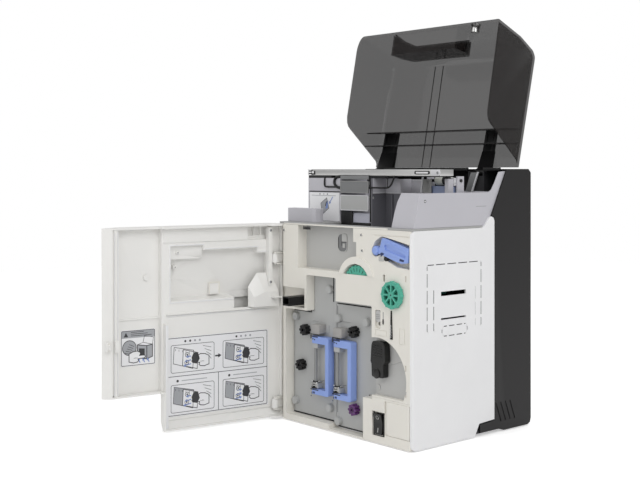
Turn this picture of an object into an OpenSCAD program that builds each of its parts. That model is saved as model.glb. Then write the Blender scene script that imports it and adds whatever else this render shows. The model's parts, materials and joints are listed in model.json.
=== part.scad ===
// Desktop retransfer printer for identity cards, shown open: the front door is
// swung out, the smoked top cover is tipped back, and both cassettes are in place.
// Frame: x to the right, y to the back, z up, origin on the table under the
// middle of the cabinet. Every length is in millimetres.

/* [Cabinet] */
// Width over the side covers
body_w = 342; // [300:400]
// Depth of the cabinet, without the door
body_d = 292; // [260:330]
// Height of the black top over the table
top_z = 436; // [400:470]
// Height of the white covers and of the door
waist_z = 340; // [300:380]
// Underside of the covers over the table
skirt_z = 2; // [1:6]
// Wall of the moulded covers
wall = 3; // [2:5]
// Where the white side cover meets the black rear cover, from the middle
split_y = 50; // [20:90]
// Depth of the front frame
frame_t = 20; // [12:30]
// Height of the rubber feet
foot_h = 5; // [3:10]

/* [Front door] */
// Thickness of the door
door_t = 43; // [30:60]
// How far the door stands open from shut
door_open = 98.5; // [80:110]
// Radius of the hinge barrel along the door's edge
barrel_r = 15.5; // [10:20]
// Free side of the door's deep part, beside the switch
door_step_x = 57; // [40:90]
// Underside of the door's upper part
door_step_z = 65; // [60:90]
// Free side of the door's upper part, from the middle
free_x = 158.6; // [150:175]

/* [Top cover] */
// How far the cover is tipped back from shut
lid_open = 101.2; // [80:110]
// Wall of the smoked cover
lid_wall = 2.6; // [2:4]

/* [Cassettes] */
// Depth of a cassette behind the frame
cassette_d = 96; // [80:120]
// Full roll on a supply spool, radius
roll_r = 24; // [15:27]
// Roll on a take-up spool, radius
takeup_r = 16; // [10:20]
// Fluted knob on each spool, radius
knob_r = 9.6; // [7:12]
// Height of a bail handle
bail_h = 98; // [80:120]

/* [Controls] */
// Radius of the green feed knob
feed_r = 22; // [16:26]
// Radius of the green thumb wheel
thumb_r = 31.5; // [24:34]
// Height of the power rocker
rocker_h = 33; // [24:40]

/* [Fits] */
// Radial gap of a shaft in its hole
run_gap = 0.05; // [0.02:0.01:0.09]
// Gap between a moving piece and what it passes
pass_gap = 0.6; // [0.4:0.1:1.5]
// Gap left under a piece that rests on a slide
seat_gap = 0.2; // [0.1:0.05:0.3]

/* [Hidden] */
xs = body_w / 2;                     // outside of the side covers
yf = -body_d / 2;                    // front plane
yb = body_d / 2;                     // rear plane
yp = yf + frame_t;                   // back of the front frame
xi = xs - wall;                      // inside of the side covers
pan_z = foot_h + 5;                  // top of the base pan
deck_z = waist_z + 3.4;              // top of the grey deck
panel_t = 3;                         // cassette front panel
panel_y = yp - panel_t + 1;          // front face of the cassette panels
bay_x0 = -131;                       // bay, left side
bay_x1 = 83;                         // bay, right side
bay_top = 256;                       // top of the narrow part of the bay
joint_x = -19.8;                     // where the two cassettes meet
rear_y = panel_y + cassette_d;       // front of the cassettes' rear plates
bay_back = rear_y + 4.5;             // front of the bay's back plate
steel_t = 2.5;                       // sheet-metal plates
spool_r = 4;                         // spool shafts
pin_r = 3;                           // hinge pins
door_p = [-xs + barrel_r, yf - 4.7]; // door hinge, in plan
notch_x = door_p[0] + barrel_r + 1.5; // body clears the hinge barrel up to here
notch_y = door_p[1] + barrel_r + 4.2;
door_yo = yf - door_t;               // door's outer face when shut
door_yr = yf - 1;                    // door's rim when shut
liner_y = yf - 13;                   // raised lining when shut
shallow_y = yf - 25;                 // shallow lining when shut
door_z0 = skirt_z + 1.5;
hinge_z = [door_z0 + 22, waist_z - 60]; // middles of the door's two hinges
latch_z = [142, 158];                // latch on the free side
rim_y = yf - 10;                     // rim of the door's upper right part
room_x = free_x - 15.1;              // inside of the door's rounded free side
hood_x = [-161, -106];               // hood over the tray's inlet
tray_x0 = -149;                      // output tray in the door
tray_x1 = 42;
tray_y = door_yo + 8;
lid_p = [100.6, 430.3];              // top cover hinge, y and z
lid_a = [-142.7, 346];               // foot of the cover's front wall when shut
lid_m = [-129.7, 404.3];             // its knee
lid_r = [-105.7, 448];               // its front upper edge
lid_h = [90, 441.4];                 // its rear edge
lid_x = xs;                          // half width of the cover
rib_x = 163.4;                       // half width of its cross ribs
grip_x0 = -78;                       // finger recess
grip_x1 = 72;
grip_y = -117;
arms = [[-160, -120], [90, 118]];     // hinge arms, left and right sides
eye_r = 6.5;                         // hinge eye of an arm
bar_z0 = 420;                        // light bar across the hopper
bar_y = -63;                         // its front
flap_y = bar_y + 3.5;                // hinge line of the gate flaps
well_z = 302;                        // floor of the hopper well
feed_c = [133.4, 240];               // centre of the feed knob, x and z
thumb_c = [46.5, 250];               // centre of the thumb wheel
quad_c = [95, 105];                  // centre of the quadrant
quad_r = 64.5;
lever_c = [98.5, 113];               // pivot of the black lever
hub_c = [93, 306.9];                 // pivot of the blue lever
sw_x = 62.6;                         // left side of the switch block
sw_z = 70;                           // top of the switch block
sw_top = 74.2;                       // its higher right part
chute_x = [-104, -86];               // black card chute, its sides
chute_y = yf - 30;                   // its free end
rocker_c = [97.4, 33];               // centre of the rocker, x and z
rocker_y = yf + 8;                   // its axle
film_a = [-94.6, 159.7];             // spools, x and z
film_b = [-105, 98.4];
ribbon_a = [28.4, 169.3];
ribbon_b = [29, 42.6];
film_hinge = -63;                    // bail hinges, x
ribbon_hinge = -8;
bail_z = 55.5;                         // foot of the bails
bail_w = 39;                         // hinge line to outside of the grip
bail_grip = 8;
bail_t = 13;
bail_y = panel_y - 2 - bail_t / 2;   // middle of the bails, front to back
bay_pts = [
  [bay_x0, 12.5], [joint_x, 12.5], [joint_x, 4.8], [sw_x + 2, 4.8],
  [sw_x + 2, sw_z - 2], [bay_x1, sw_z - 2], [bay_x1, 218], [-2.4, 218],
  [-2.4, bay_top], [-77, bay_top], [-77, 195], [bay_x0, 195]];
film_pts = [
  [bay_x0 + 1, 14], [joint_x - 0.4, 14], [joint_x - 0.4, 219.5], [-4, 219.5],
  [-4, 254], [-76, 254], [-76, 193.5], [bay_x0 + 1, 193.5]];
ribbon_pts = [
  [joint_x + 0.4, 6], [sw_x - 0.8, 6], [sw_x - 0.8, sw_z + 1.5],
  [bay_x1 - 1, sw_z + 1.5], [bay_x1 - 1, 216.5], [joint_x + 0.4, 216.5]];

module slab(x0, x1, y0, y1, z0, z1) {
  translate([x0, y0, z0]) cube([x1 - x0, y1 - y0, z1 - z0]);
}
// Drawn in x and z, pushed from y0 back to y1.
module front(y0, y1) {
  translate([0, y1, 0]) rotate([90, 0, 0]) linear_extrude(y1 - y0) children();
}
// Drawn in y and z, pushed from x0 to x1.
module side(x0, x1) {
  translate([x0, 0, 0]) rotate([90, 0, 90]) linear_extrude(x1 - x0) children();
}
// Drawn in x and y, pushed from z0 to z1.
module plan(z0, z1) {
  translate([0, 0, z0]) linear_extrude(z1 - z0) children();
}
module soft(r) {
  offset(r = r, $fn = 24) offset(delta = -r) children();
}
module box2(x0, x1, y0, y1, r = 0) {
  translate([x0, y0])
    if (r > 0) soft(r) square([x1 - x0, y1 - y0]);
    else square([x1 - x0, y1 - y0]);
}
// A round bar along y.
module rod_y(c, r, y0, y1, n = 32) {
  translate([c[0], y0, c[1]]) rotate([-90, 0, 0]) cylinder(r = r, h = y1 - y0, $fn = n);
}
// A round bar along x, at c = [y, z].
module rod_x(c, r, x0, x1, n = 32) {
  translate([x0, c[0], c[1]]) rotate([0, 90, 0]) cylinder(r = r, h = x1 - x0, $fn = n);
}
module rod_z(c, r, z0, z1, n = 32) {
  translate([c[0], c[1], z0]) cylinder(r = r, h = z1 - z0, $fn = n);
}

// ---------------------------------------------------------------- cabinet

module base_pan() {
  color("#3a3b3e")
    difference() {
      slab(-xi, xi, yp, yb - wall, foot_h, pan_z);
      slab(-xi - 1, notch_x, yp - 1, notch_y + 3, foot_h - 1, pan_z + 1);
      // room for the ribbon cassette's front panel
      slab(joint_x - 1, sw_x, yp - 1, panel_y + panel_t + 0.3, foot_h - 1, pan_z + 1);
    }
}

module feet() {
  color("#222222")
    // one at each corner, and one under the middle of the pan
    for (c = concat([[0, 0]], [for (x = [-xs + 30, xs - 30], y = [yf + 36, yb - 34]) [x, y]]))
      rod_z(c, 10, 0, foot_h);
}

module side_profile() {
  polygon([[yf, skirt_z + 12], [yf + 2, skirt_z + 4], [yf + 8, skirt_z],
    [1, skirt_z], [12, 21.9], [split_y, 23.8], [split_y, 351], [47.5, 356],
    [42.5, 358], [37, 356.5], [28, 346], [21, waist_z + 0.4], [14, waist_z],
    [yf + 6, waist_z], [yf, waist_z - 5]]);
}

module cover_plan() {
  difference() {
    polygon([[xs - 20, yf], [xs - 5, yf], [xs - 1.5, yf + 1.5], [xs, yf + 5],
      [xs, split_y], [xs - 20, split_y]]);
    polygon([[xs - 21, yf - 1], [xi - 1, yf - 1], [xi - 1, yf + 4], [xi, yf + 6],
      [xi, split_y + 1], [xs - 21, split_y + 1]]);
  }
}

module side_cover_right() {
  color("#e9eaec")
    difference() {
      intersection() {
        side(0, xs + 1) side_profile();
        plan(0, top_z) cover_plan();
      }
      for (z = [[236, 243], [198.6, 201.4]])
        slab(xi - 1, xs + 1, -79.6, -20.5, z[0], z[1]);
      side(xs - 0.8, xs + 1) knockouts();
    }
}

// Scored break-out lines for the optional slots.
module knockouts() {
  for (a = [[-112, 17, 181, 287], [-97, 2.5, 181, 249]])
    difference() {
      box2(a[0], a[1], a[2], a[3], 3);
      box2(a[0] + 1.4, a[1] - 1.4, a[2] + 1.4, a[3] - 1.4, 2);
      for (z = [a[2] - 12 : 26 : a[3]]) translate([a[0] - 1, z]) square([a[1] - a[0] + 2, 5]);
      for (y = [a[0] + 16 : 26 : a[1]]) translate([y, a[2] - 1]) square([5, a[3] - a[2] + 2]);
      translate([a[0] + 4, a[2] - 2]) square([a[1] - a[0] - 8, 6]);
    }
  difference() {
    box2(-78, -17, 172, 189, 7);
    box2(-76.6, -18.4, 173.4, 187.6, 6);
    for (y = [-66 : 18 : -28]) translate([y, 170]) square([5, 22]);
  }
}

module side_cover_left() {
  color("#e9eaec")
    difference() {
      mirror([1, 0, 0]) intersection() {
        side(0, xs + 1) side_profile();
        plan(0, top_z) cover_plan();
      }
      slab(-xs - 1, -xs + 22, yf - 1, notch_y, 0, top_z);
      for (i = [0 : 8]) slab(-xs - 1, -xi + 1, -40 + i * 9, -36 + i * 9, 60, 110);
    }
}

module rear_profile(grow = 0) {
  offset(delta = grow)
    polygon([[split_y + 0.3, 22], [14, 20], [14, 6], [70, 6], [74, skirt_z],
      [yb - 8, skirt_z], [yb - 2, skirt_z + 3], [yb, skirt_z + 10], [yb, top_z - 6],
      [yb - 6, top_z], [83, top_z], [42.8, 358.8], [45, 357.8], [48, 356.2],
      [split_y + 0.3, 351]]);
}

module rear_cover() {
  color("#242123")
    difference() {
      side(-xs, xs) rear_profile();
      // hollow, open to the front
      side(-xi, xi) polygon([[-20, pan_z], [yb - wall, pan_z], [yb - wall, top_z - wall],
        [60, top_z - wall], [60, top_z + 2], [-20, top_z + 2]]);
      slab(-xi, xi, 0, 83.5, foot_h, top_z + 5);
      slab(-xi, xi, 0, yb - wall, foot_h, pan_z);
      // clearance for the cover's hinge arms and the rear feet
      for (a = arms) slab(a[0] - 4.5, a[1] + 4.5, 80, 122, top_z - wall - 1, top_z + 1);
      for (x = [-xs + 30, xs - 30]) rod_z([x, yb - 34], 10.3, 0, foot_h + 1);
      // louvres and the mains inlet
      for (i = [0 : 11]) slab(-120, 20, yb - wall - 1, yb + 1, 300 + i * 9, 304 + i * 9);
      slab(82, 112, yb - wall - 1, yb + 1, 40, 62);
      slab(-100, -86, yb - wall - 1, yb + 1, 44, 57);
      // slanting ribs low on each side
      for (s = [-1, 1], i = [0 : 3])
        translate([s * (xs - 0.4), 60 + i * 12, 34]) rotate([22, 0, 0])
          cube([1.6, 3, 34], center = true);
    }
}

module window2() {
  difference() {
    polygon([[-99, 267], [47, 267], [47, 318], [40, 318], [40, waist_z + 1],
      [-99, waist_z + 1]]);
    translate(thumb_c + [1, 2]) circle(r = thumb_r + 11, $fn = 64);
  }
}

module quad2(grow = 0) {
  intersection() {
    translate(quad_c) circle(r = quad_r + grow, $fn = 96);
    translate([bay_x1 - grow, sw_z + 7 - grow]) square([90, 120]);
  }
}

module front_frame() {
  color("#e8e5dc") {
    difference() {
      union() {
        difference() {
          front(yf, yp) difference() {
            box2(notch_x, xi - 1, skirt_z, waist_z);
            soft(3) polygon(bay_pts);
            window2();
            quad2();
            // switch block
            translate([sw_x, skirt_z - 1]) square([120, sw_z - skirt_z + 1]);
            translate([bay_x1 + 0.8, sw_z - 1]) square([120, sw_top - sw_z + 1.2]);
            // small key slot and brush slot
            translate([108.4, 259]) square([4.6, 11]);
            polygon([[125.6, 170], [130.4, 170], [128.6, 215], [127, 215]]);
          }
          // pocket of the blue lever
          front(yf - 1, yf + 13) release_pocket();
          // half-moon window of the thumb wheel
          front(yf - 1, yf + 13) intersection() {
            translate(thumb_c) circle(r = thumb_r + 1.2, $fn = 64);
            translate([0, 264.8]) square([100, 40]);
          }
          // the wheel's own hollow, behind the face
          rod_y(thumb_c, thumb_r + 1.2, yf + 1.6, yf + 11, 64);
          // slider window
          front(yf - 1, yf + 4) box2(91, 103, 184, 213, 2);
          front(yf - 1, yp + 1) box2(94.5, 99.5, 188, 209, 1);
          // embossed panels
          for (r = [[144.8, 156, 164.3, 189.2], [91, 116.8, 172.6, 182.2]])
            front(yf - 1, yf + 0.8) difference() {
              box2(r[0], r[1], r[2], r[3]);
              box2(r[0] + 1, r[1] - 1, r[2] + 1, r[3] - 1);
            }
          // pocket of the card chute
          front(yf - 1, yf + 14) box2(notch_x - 2, -82, 199, 232);
          // locating marks along the right edge
          for (z = [262, 124, 84]) slab(157, 160, yf - 1, yf + 2, z, z + 9);
          // edge line above the blue lever
          slab(88, xi, yf - 1, yf + 1, 330.6, 332);
        }
        // set-back wing behind the door's hinge barrel
        slab(-xi, notch_x + 2, notch_y, yp, skirt_z, waist_z);
        // rounded cover beside the upper hinge
        plan(246, 331) soft(2.4) polygon([[notch_x - 8, notch_y + 3], [notch_x - 8, notch_y - 5.4],
          [notch_x + 2, notch_y - 9], [notch_x + 2, notch_y + 3]]);
        // raised surround of the thumb wheel
        front(yf - 2, yf) difference() {
          intersection() {
            translate(thumb_c + [1, 2]) circle(r = thumb_r + 11, $fn = 64);
            translate([0, 265]) square([88, 36]);
          }
          translate(thumb_c) circle(r = thumb_r + 1.2, $fn = 64);
        }
      }
      // way for the cards behind the chute
      slab(chute_x[0] + 2, chute_x[1] - 2, yf + 12, yp + 1, 207, 217);
      // shaft holes
      rod_y(feed_c, spool_r + run_gap, yf - 3, yp + 1);
      rod_y(hub_c, spool_r + run_gap, yf - 3, yp + 1);
      rod_y(thumb_c, spool_r + run_gap, yf + 8, yp + 1);
    }
    // bosses round the opening
    for (c = [[-135, 330], [60, 330], [62, 305]]) rod_y(c, 2.6, yf - 0.8, yf, 16);
  }
}

module release_pocket() {
  hull() {
    translate([100, 312]) circle(r = 13, $fn = 32);
    polygon([[104, 329.5], [110, 329.5], [xi - 1.5, 319], [xi - 1.5, 281], [140, 283],
      [104, 299]]);
  }
  translate(hub_c) circle(r = 9.5, $fn = 32);
}

module bay_box() {
  color("#8d9094")
    union() {
      {
        slab(bay_x0 - steel_t, bay_x1 + steel_t, bay_back, bay_back + steel_t, pan_z, 264);
        slab(bay_x0 - steel_t, bay_x0, yp, bay_back, pan_z, 264);
        slab(bay_x1, bay_x1 + steel_t, yp + 30, bay_back, pan_z, 264);
        slab(bay_x1, bay_x1 + steel_t, yp, yp + 30, sw_z + 5, 264);
        slab(bay_x0 - steel_t, bay_x1 + steel_t, yp, bay_back + steel_t, 261.5, 264);
        // runners under the cassettes
        for (x = [-124, -36, -12, 52])
          slab(x, x + 8, yp + 2, bay_back, pan_z, 14 - seat_gap);
      }
    }
}

module window_panel() {
  color("#a9aaa9")
    difference() {
      slab(-101, 49, yp, yp + 4, 265.5, waist_z);
      front(yp - 1, yp + 2.5) difference() {
        translate([5, 299.5]) {
          translate([9, 7]) circle(r = 9, $fn = 32);
          translate([0, 7]) square([18, 10]);
          translate([0, 16]) square([8, 14]);
          translate([0, 26]) square([22, 4]);
        }
        translate([11, 304]) square([6, 22]);
      }
      rod_y(thumb_c, spool_r + 1, yp - 1, yp + 5);
    }
}

module quadrant_panel() {
  color("#b4b5b4") {
    difference() {
      front(yf + 10, yp) quad2(-0.15);
      rod_y(lever_c, spool_r + run_gap, yf + 5, yp + 1);
      // scored sector line
      front(yf + 9, yf + 10.7) translate([104, 123]) rotate(18) square([44, 0.9]);
    }
    rod_y([89, 89], 4.4, yf + 8.6, yf + 10, 24);
  }
}

module switch_block() {
  color("#e8e5dc")
    difference() {
      union() {
        slab(sw_x, xi - 1, yf, yp + 18, pan_z, sw_z);
        slab(bay_x1 + 1, xi - 1, yf, yp + 18, sw_z - 1, sw_top);
        slab(sw_x, xi - 1, yf, yf + 12, skirt_z, pan_z + 1);
      }
      // bezel round the rocker, and the seat of the blank cover
      slab(84, 112, yf - 1, yf + 3, 14, 52);
      slab(112, xi, yf - 1, yf + 3, 18, sw_z + 1);
      front(yf - 1, yp + 20) translate(rocker_c - [9.2 + pass_gap, rocker_h / 2 + pass_gap])
        square([18.4 + 2 * pass_gap, rocker_h + 2 * pass_gap]);
      rod_x([rocker_y, rocker_c[1]], 2.5 + run_gap, 80, 116, 24);
    }
}

module blank_cover() {
  color("#efece4")
    front(yf - 0.6, yf + 3)
      polygon([[117, 71], [xi - 2, 71], [xi - 2, 18.5], [121, 18.5], [118, 19.6],
        [117, 23]]);
}

module rocker() {
  color("#1b1b1c") {
    side(rocker_c[0] - 9.2, rocker_c[0] + 9.2) translate([0, rocker_c[1]])
      polygon([[yf - 1, -rocker_h / 2], [yf + 0.6, -3], [yf + 0.6, 3], [yf - 3.4, rocker_h / 2],
        [yf + 3, rocker_h / 2 - 0.8], [yf + 16, rocker_h / 2 - 6],
        [yf + 16, -rocker_h / 2 + 6], [yf + 3, -rocker_h / 2 + 0.8]]);
    rod_x([rocker_y, rocker_c[1]], 2.5, 83, 112, 24);
  }
}

// --------------------------------------------------------------- top works

module deck() {
  color("#c3c3c0")
    difference() {
      slab(-xi, xi, yf + 1, 82, waist_z, deck_z);
      slab(-80, 118, yp, 56, waist_z - 1, deck_z + 1);
      slab(-xi - 1, notch_x, yf, notch_y + 1, waist_z - 1, deck_z + 1);
    }
}

module deck_well() {
  color("#18181a")
    difference() {
      slab(-82, 120, yp, 58, well_z - 2, waist_z);
      slab(-80, 118, yp + 2, 56, well_z, waist_z + 1);
      // room for the window panel
      slab(-102, 50, yp - 1, yp + 4, 260, waist_z + 1);
    }
}

module upper_tray() {
  color("#b3b3b8") {
    // right wall and its corner pillar
    side(xi - wall, xi) polygon([[-138, deck_z], [-124.5, 398], [40, 398], [47.5, 402],
      [56, 414], [66, 431], [72, top_z - wall - 1], [82, top_z - wall - 1], [82, deck_z]]);
    intersection() {
      side(118, xi) polygon([[-138, deck_z], [-124.5, 398], [-112, 398], [-112, deck_z]]);
      front(-140, -100) polygon([[119, deck_z], [119.6, 365], [122, 384], [127.5, 398],
        [xi, 398], [xi, deck_z]]);
    }
    // left wall, the wall across the back and the low block at the left corner
    side(-xi, -xi + wall) polygon([[bar_y, deck_z], [bar_y, bar_z0], [-30.6, bar_z0],
      [-30.6, bar_z0 + 8], [72, top_z - wall - 1], [82, top_z - wall - 1], [82, deck_z]]);
    slab(-xi, xi, 79, 82, deck_z, 398);
    plan(deck_z, 367)
      polygon([[-xi, -111], [-103, -111], [-96, -108], [-93, -100], [-93, -93],
        [-xi, -93]]);
  }
}

module feeder_housing() {
  color("#b1b1af")
    difference() {
      slab(-xi + wall, -82, bar_y, -2, deck_z, bar_z0);
      // parting line under the upper band
      slab(-xi, -81, bar_y - 1, bar_y + 1, 395, 396.6);
      slab(-120, -92, -24, -1, 380, bar_z0 + 1);
      for (z = [411.5, 387]) rod_x([flap_y, z], 2.4 + run_gap, -88, -81, 24);
    }
}

module feeder_label() {
  color("#e6e8ee")
    slab(-163, -84, bar_y - 0.6, bar_y, deck_z + 1, 394);
}

module feeder_gate() {
  color("#3b3b3e") {
    difference() {
      slab(-5.4, -2, bar_y + 0.5, -2, well_z, bar_z0);
      for (z = [411.5, 387]) rod_x([flap_y, z], 2.4 + run_gap, -10, 0, 24);
    }
    // dark card guide with upright ribs
    slab(-2, 84, -30, -27, well_z, 394);
    for (x = [14, 40, 66]) slab(x, x + 3, -34, -30, well_z, 392);
  }
}

// A hinged plate; z is the height of its hinge line.
module flap(z0, z1, z) {
  front(flap_y - 6.7, flap_y - 4.2) box2(-78.6, -8, z0, z1, 2.5);
  slab(-78.6, -8, flap_y - 4.4, flap_y, z - 2, z + 1.5);
  rod_x([flap_y, z], 3.4, -78.6, -8, 24);
  rod_x([flap_y, z], 2.4, -86, -3, 24);
}

module gate_flap_upper() {
  color("#6f7071") flap(394.5, 415.5, 411.5);
}

module gate_flap_lower() {
  color("#b0b1ad") flap(364, 391, 387);
}

module wire_bail() {
  r = 1.6;
  y = bar_y - r;
  color("#1f1f20")
    for (w = [[-121, -121, -80.6], [50, -6.4, 50]]) {
      rod_z([w[0], y], r, 404, bar_z0 + 2, 16);
      rod_x([y, 404], r, w[1], w[2], 16);
      translate([w[0], y, 404]) sphere(r = r, $fn = 16);
    }
}

module top_bar() {
  color("#bcbcb9")
    difference() {
      slab(-xi, 154, bar_y, -31, bar_z0, top_z - 3.5);
      // slotted bracket at the right end, and a screw recess in the end face
      for (z = [422.5, 427.5]) slab(112, 140, bar_y - 1, bar_y + 2, z, z + 2.4);
      rod_x([-38, 426], 2, 152, 156, 20);
      // shallow step along the top
      slab(-xi + 8, 146, -52, -40, top_z - 4.5, top_z);
    }
}

module card_hopper() {
  color("#b9bac4")
    difference() {
      union() {
        slab(86, 117.6, -26, -3, well_z, 396);
        slab(86, 154, -26, -3, deck_z, 396);
        for (x = [86, 151]) slab(x, x + 3, -22, -6, 390, 424);
        slab(-2, 86, -5, -2, well_z, 418);
        // post that carries the right end of the bar
        slab(141, 149, -38, -26, deck_z, bar_z0);
      }
      rod_x([-14, 417], 2.5 + run_gap, 80, 160, 24);
    }
}

module feed_carriage() {
  color("#8f9cc0")
    slab(93, 147, -24, -4, 396, 408);
}

module card_stack() {
  // bank cards, 54 by 85.6, on a block that stands in the well
  color("#c9cbe0") slab(-62, -8, -60, 25.6, 337, 360);
  color("#c9cbe0") slab(-50, -20, -50, 15, well_z, 337);
}

module pick_roller() {
  color("#2a2b2d") {
    rod_x([-14, 417], 7, 102, 128, 32);
    rod_x([-14, 417], 2.5, 84, 156, 24);
  }
}

module card_chute() {
  color("#1c1b1c")
    difference() {
      slab(chute_x[0], chute_x[1], chute_y, yf + 14, 204, 219);
      slab(chute_x[0] + 2, chute_x[1] - 2, chute_y - 1, yf + 15, 207, 217);
    }
}

module lid_hinge_posts() {
  color("#2b2c2e")
    for (a = arms) {
      for (x = [a[0] - 3.4, a[1] + 0.6]) slab(x, x + 2.8, 82, 116, 380, top_z - wall - 0.6);
      slab(a[0] - 3.4, a[1] + 3.4, 82, 84, 380, 424);
      rod_x(lid_p, pin_r, a[0] - 3.4, a[1] + 3.4, 32);
    }
}

module door_hinge_pins() {
  color("#6d6f72")
    for (z = hinge_z) {
      rod_z(door_p, pin_r, z - 11, z + 11, 32);
      for (k = [-11, 8])
        slab(door_p[0] - 5, door_p[0] + 5, door_p[1], notch_y, z + k, z + k + 3);
    }
}

module rear_ports() {
  color("#1d1d1f") {
    difference() {
      slab(82.2, 111.8, yb - 22, yb - 0.4, 40.2, 61.8);
      slab(86, 108, yb - 16, yb + 1, 44, 58);
    }
    for (x = [91, 97, 103]) slab(x - 1, x + 1, yb - 17, yb - 8, 49, 53);
    difference() {
      slab(-99.8, -86.2, yb - 18, yb - 0.4, 44.2, 56.8);
      slab(-98, -88, yb - 10, yb + 1, 46, 55);
    }
  }
}

module inner_works() {
  color("#5b6167") {
    // power supply, drive unit, main board and print head bridge
    slab(62, 150, 0, 120, pan_z, 74);
    slab(-120, 40, 0, 60, pan_z, 96);
    slab(-150, -147, -10, 120, pan_z, 240);
    slab(-128, 80, bay_back + steel_t, -8, 200, 240);
  }
}

// --------------------------------------------------------------- controls

module cleaning_brush() {
  color("#1a191a")
    front(yf - 1.6, yp - 4)
      polygon([[125.8, 170.2], [130.2, 170.2], [128.5, 214.8], [127.1, 214.8]]);
}

module head_slider() {
  color("#9a9b9b") {
    front(yf + 0.6, yf + 3.8) box2(91.6, 102.4, 194, 212.4, 4);
    slab(95, 99, yf + 3, yp - 1, 200, 206);
  }
}

module head_lever() {
  color("#1c1c1d") {
    front(yf - 4, yf + 8) {
      soft(3.5) polygon([[84, 131], [86, 157], [89, 164], [112, 164.5], [116, 157],
        [117.5, 132.5], [113, 129], [113, 107], [87, 107], [86, 128]]);
    }
    rod_y(lever_c, spool_r, yf + 7, yp + 4);
  }
}

module release_lever() {
  color("#8ea6e6") {
    difference() {
      front(yf - 1, yf + 10) union() {
        soft(2) polygon([[99, 303], [104, 316], [107, 327], [113, 327], [120, 325.4],
          [xi - 2.4, 313], [xi - 4.5, 291], [150, 289.6], [138, 292]]);
        translate(hub_c) circle(r = 7.5, $fn = 32);
        translate([92, 303]) square([14, 9]);
      }
      // long pressed hollow
      front(yf - 2, yf + 1) soft(2) polygon([[112, 318], [114, 309], [158, 298],
        [159, 303]]);
    }
    rod_y(hub_c, spool_r, yf + 9, yp - pass_gap);
  }
}

module feed_knob() {
  color("#5fc3a6") {
    difference() {
      front(yf - 8, yf - 1) translate(feed_c) difference() {
        union() {
          circle(r = feed_r - 1.2, $fn = 72);
          for (i = [0 : 11]) rotate(i * 30) translate([feed_r - 2.4, 0]) circle(r = 2.4, $fn = 12);
        }
        for (i = [0 : 7]) rotate(i * 45 + 22.5)
          soft(0.6) polygon([[6.2, -1.2], [15, -4.6], [16.4, 0], [15, 4.6], [6.2, 1.2]]);
      }
    }
    rod_y(feed_c, spool_r, yf - 2, bay_back);
    rod_y(feed_c, 7, yp + 6, bay_back - 4);
  }
}

module thumb_wheel() {
  color("#5fc3a6") {
    difference() {
      front(yf + 2.2, yf + 9.6) translate(thumb_c) difference() {
        circle(r = thumb_r - 1.4, $fn = 72);
        circle(r = 14, $fn = 32);
      }
      for (i = [0 : 23])
        translate([thumb_c[0], 0, thumb_c[1]]) rotate([0, i * 15, 0])
          slab(thumb_r - 3.4, thumb_r + 1, yf, yf + 10, -1.1, 1.1);
    }
    rod_y(thumb_c, 14.2, yf + 5, yf + 9.6, 32);
    rod_y(thumb_c, spool_r, yf + 5, yp + 8);
  }
}

// --------------------------------------------------------------- cassettes

module bosses(list) {
  for (c = list) rod_y(c, 7, panel_y - 6, panel_y, 24);
}

module bail_mounts(x) {
  for (z = [bail_z + 10, bail_z + bail_h - 20.6])
    slab(x - 5, x + 9, bail_y - 4, panel_y, z, z + 8);
  rod_z([x, bail_y], pin_r, bail_z + 3, bail_z + bail_h - 3, 24);
}

module cassette_frame(pts, holes, x0, x1, top) {
  difference() {
    union() {
      front(panel_y, panel_y + panel_t) soft(2) polygon(pts);
      front(rear_y, rear_y + 4) box2(x0, x1, 14, top, 4);
      // rails and the outer side plate
      for (z = [14, top - 3]) slab(x0, x1, panel_y + panel_t, rear_y, z, z + 3);
      slab(x0, x0 + 3, panel_y + panel_t, rear_y, 14, top);
    }
    for (c = holes) rod_y(c, spool_r + run_gap, panel_y - 20, rear_y + 10);
  }
}

module film_frame() {
  color("#adafae") {
    cassette_frame(film_pts, [film_a, film_b], bay_x0 + 1.5, joint_x - 1, 192);
    bosses([[-121, 180.7], [-122.4, 34.3], [-33.3, 34.7], [-34, 233.2]]);
    bail_mounts(film_hinge);
    slab(-59.7, -38, panel_y - 1.4, panel_y, 159.4, 172.4);
  }
}

module ribbon_frame() {
  color("#adafae") {
    cassette_frame(ribbon_pts, [ribbon_a, ribbon_b], joint_x + 1, sw_x - 2, 202);
    bosses([[-12, 187.5], [56, 187.7], [-12, 16.4]]);
    bail_mounts(ribbon_hinge);
    slab(8, 16, panel_y - 1.4, panel_y, 159.4, 172.4);
  }
}

module knob(c) {
  front(panel_y - 11, panel_y - pass_gap) translate(c) {
    difference() {
      union() {
        circle(r = knob_r - 2.6, $fn = 36);
        for (i = [0 : 7]) rotate(i * 45) translate([knob_r - 2.4, 0]) circle(r = 2.4, $fn = 14);
      }
      circle(r = 2.2, $fn = 18);
    }
  }
  difference() {
    rod_y(c, spool_r, panel_y - 8, rear_y + 3.6);
    rod_y(c, 2.2, panel_y - 9, panel_y - 4, 18);
  }
}

module roll(c, r) {
  difference() {
    union() {
      rod_y(c, r, panel_y + panel_t + 10, rear_y - 10, 64);
      for (y = [panel_y + panel_t + 7, rear_y - 10])
        rod_y(c, r + 1.6, y, y + 3, 64);
    }
    rod_y(c, spool_r, panel_y, rear_y + 5);
  }
}

module bail(x) {
  z1 = bail_z + bail_h;
  difference() {
    union() {
      front(bail_y - bail_t / 2, bail_y + bail_t / 2)
        difference() {
          soft(4) polygon([[x - 1, bail_z], [x + bail_w, bail_z], [x + bail_w, z1],
            [x - 1, z1]]);
          translate([x - 8, bail_z + 9]) square([8 + bail_w - bail_grip, bail_h - 21]);
        }
      for (z = [bail_z, z1 - 12])
        rod_z([x, bail_y], bail_t / 2, z, z + (z == bail_z ? 9 : 12), 32);
    }
    rod_z([x, bail_y], pin_r + run_gap, bail_z - 1, z1 + 1, 24);
  }
}

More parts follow.
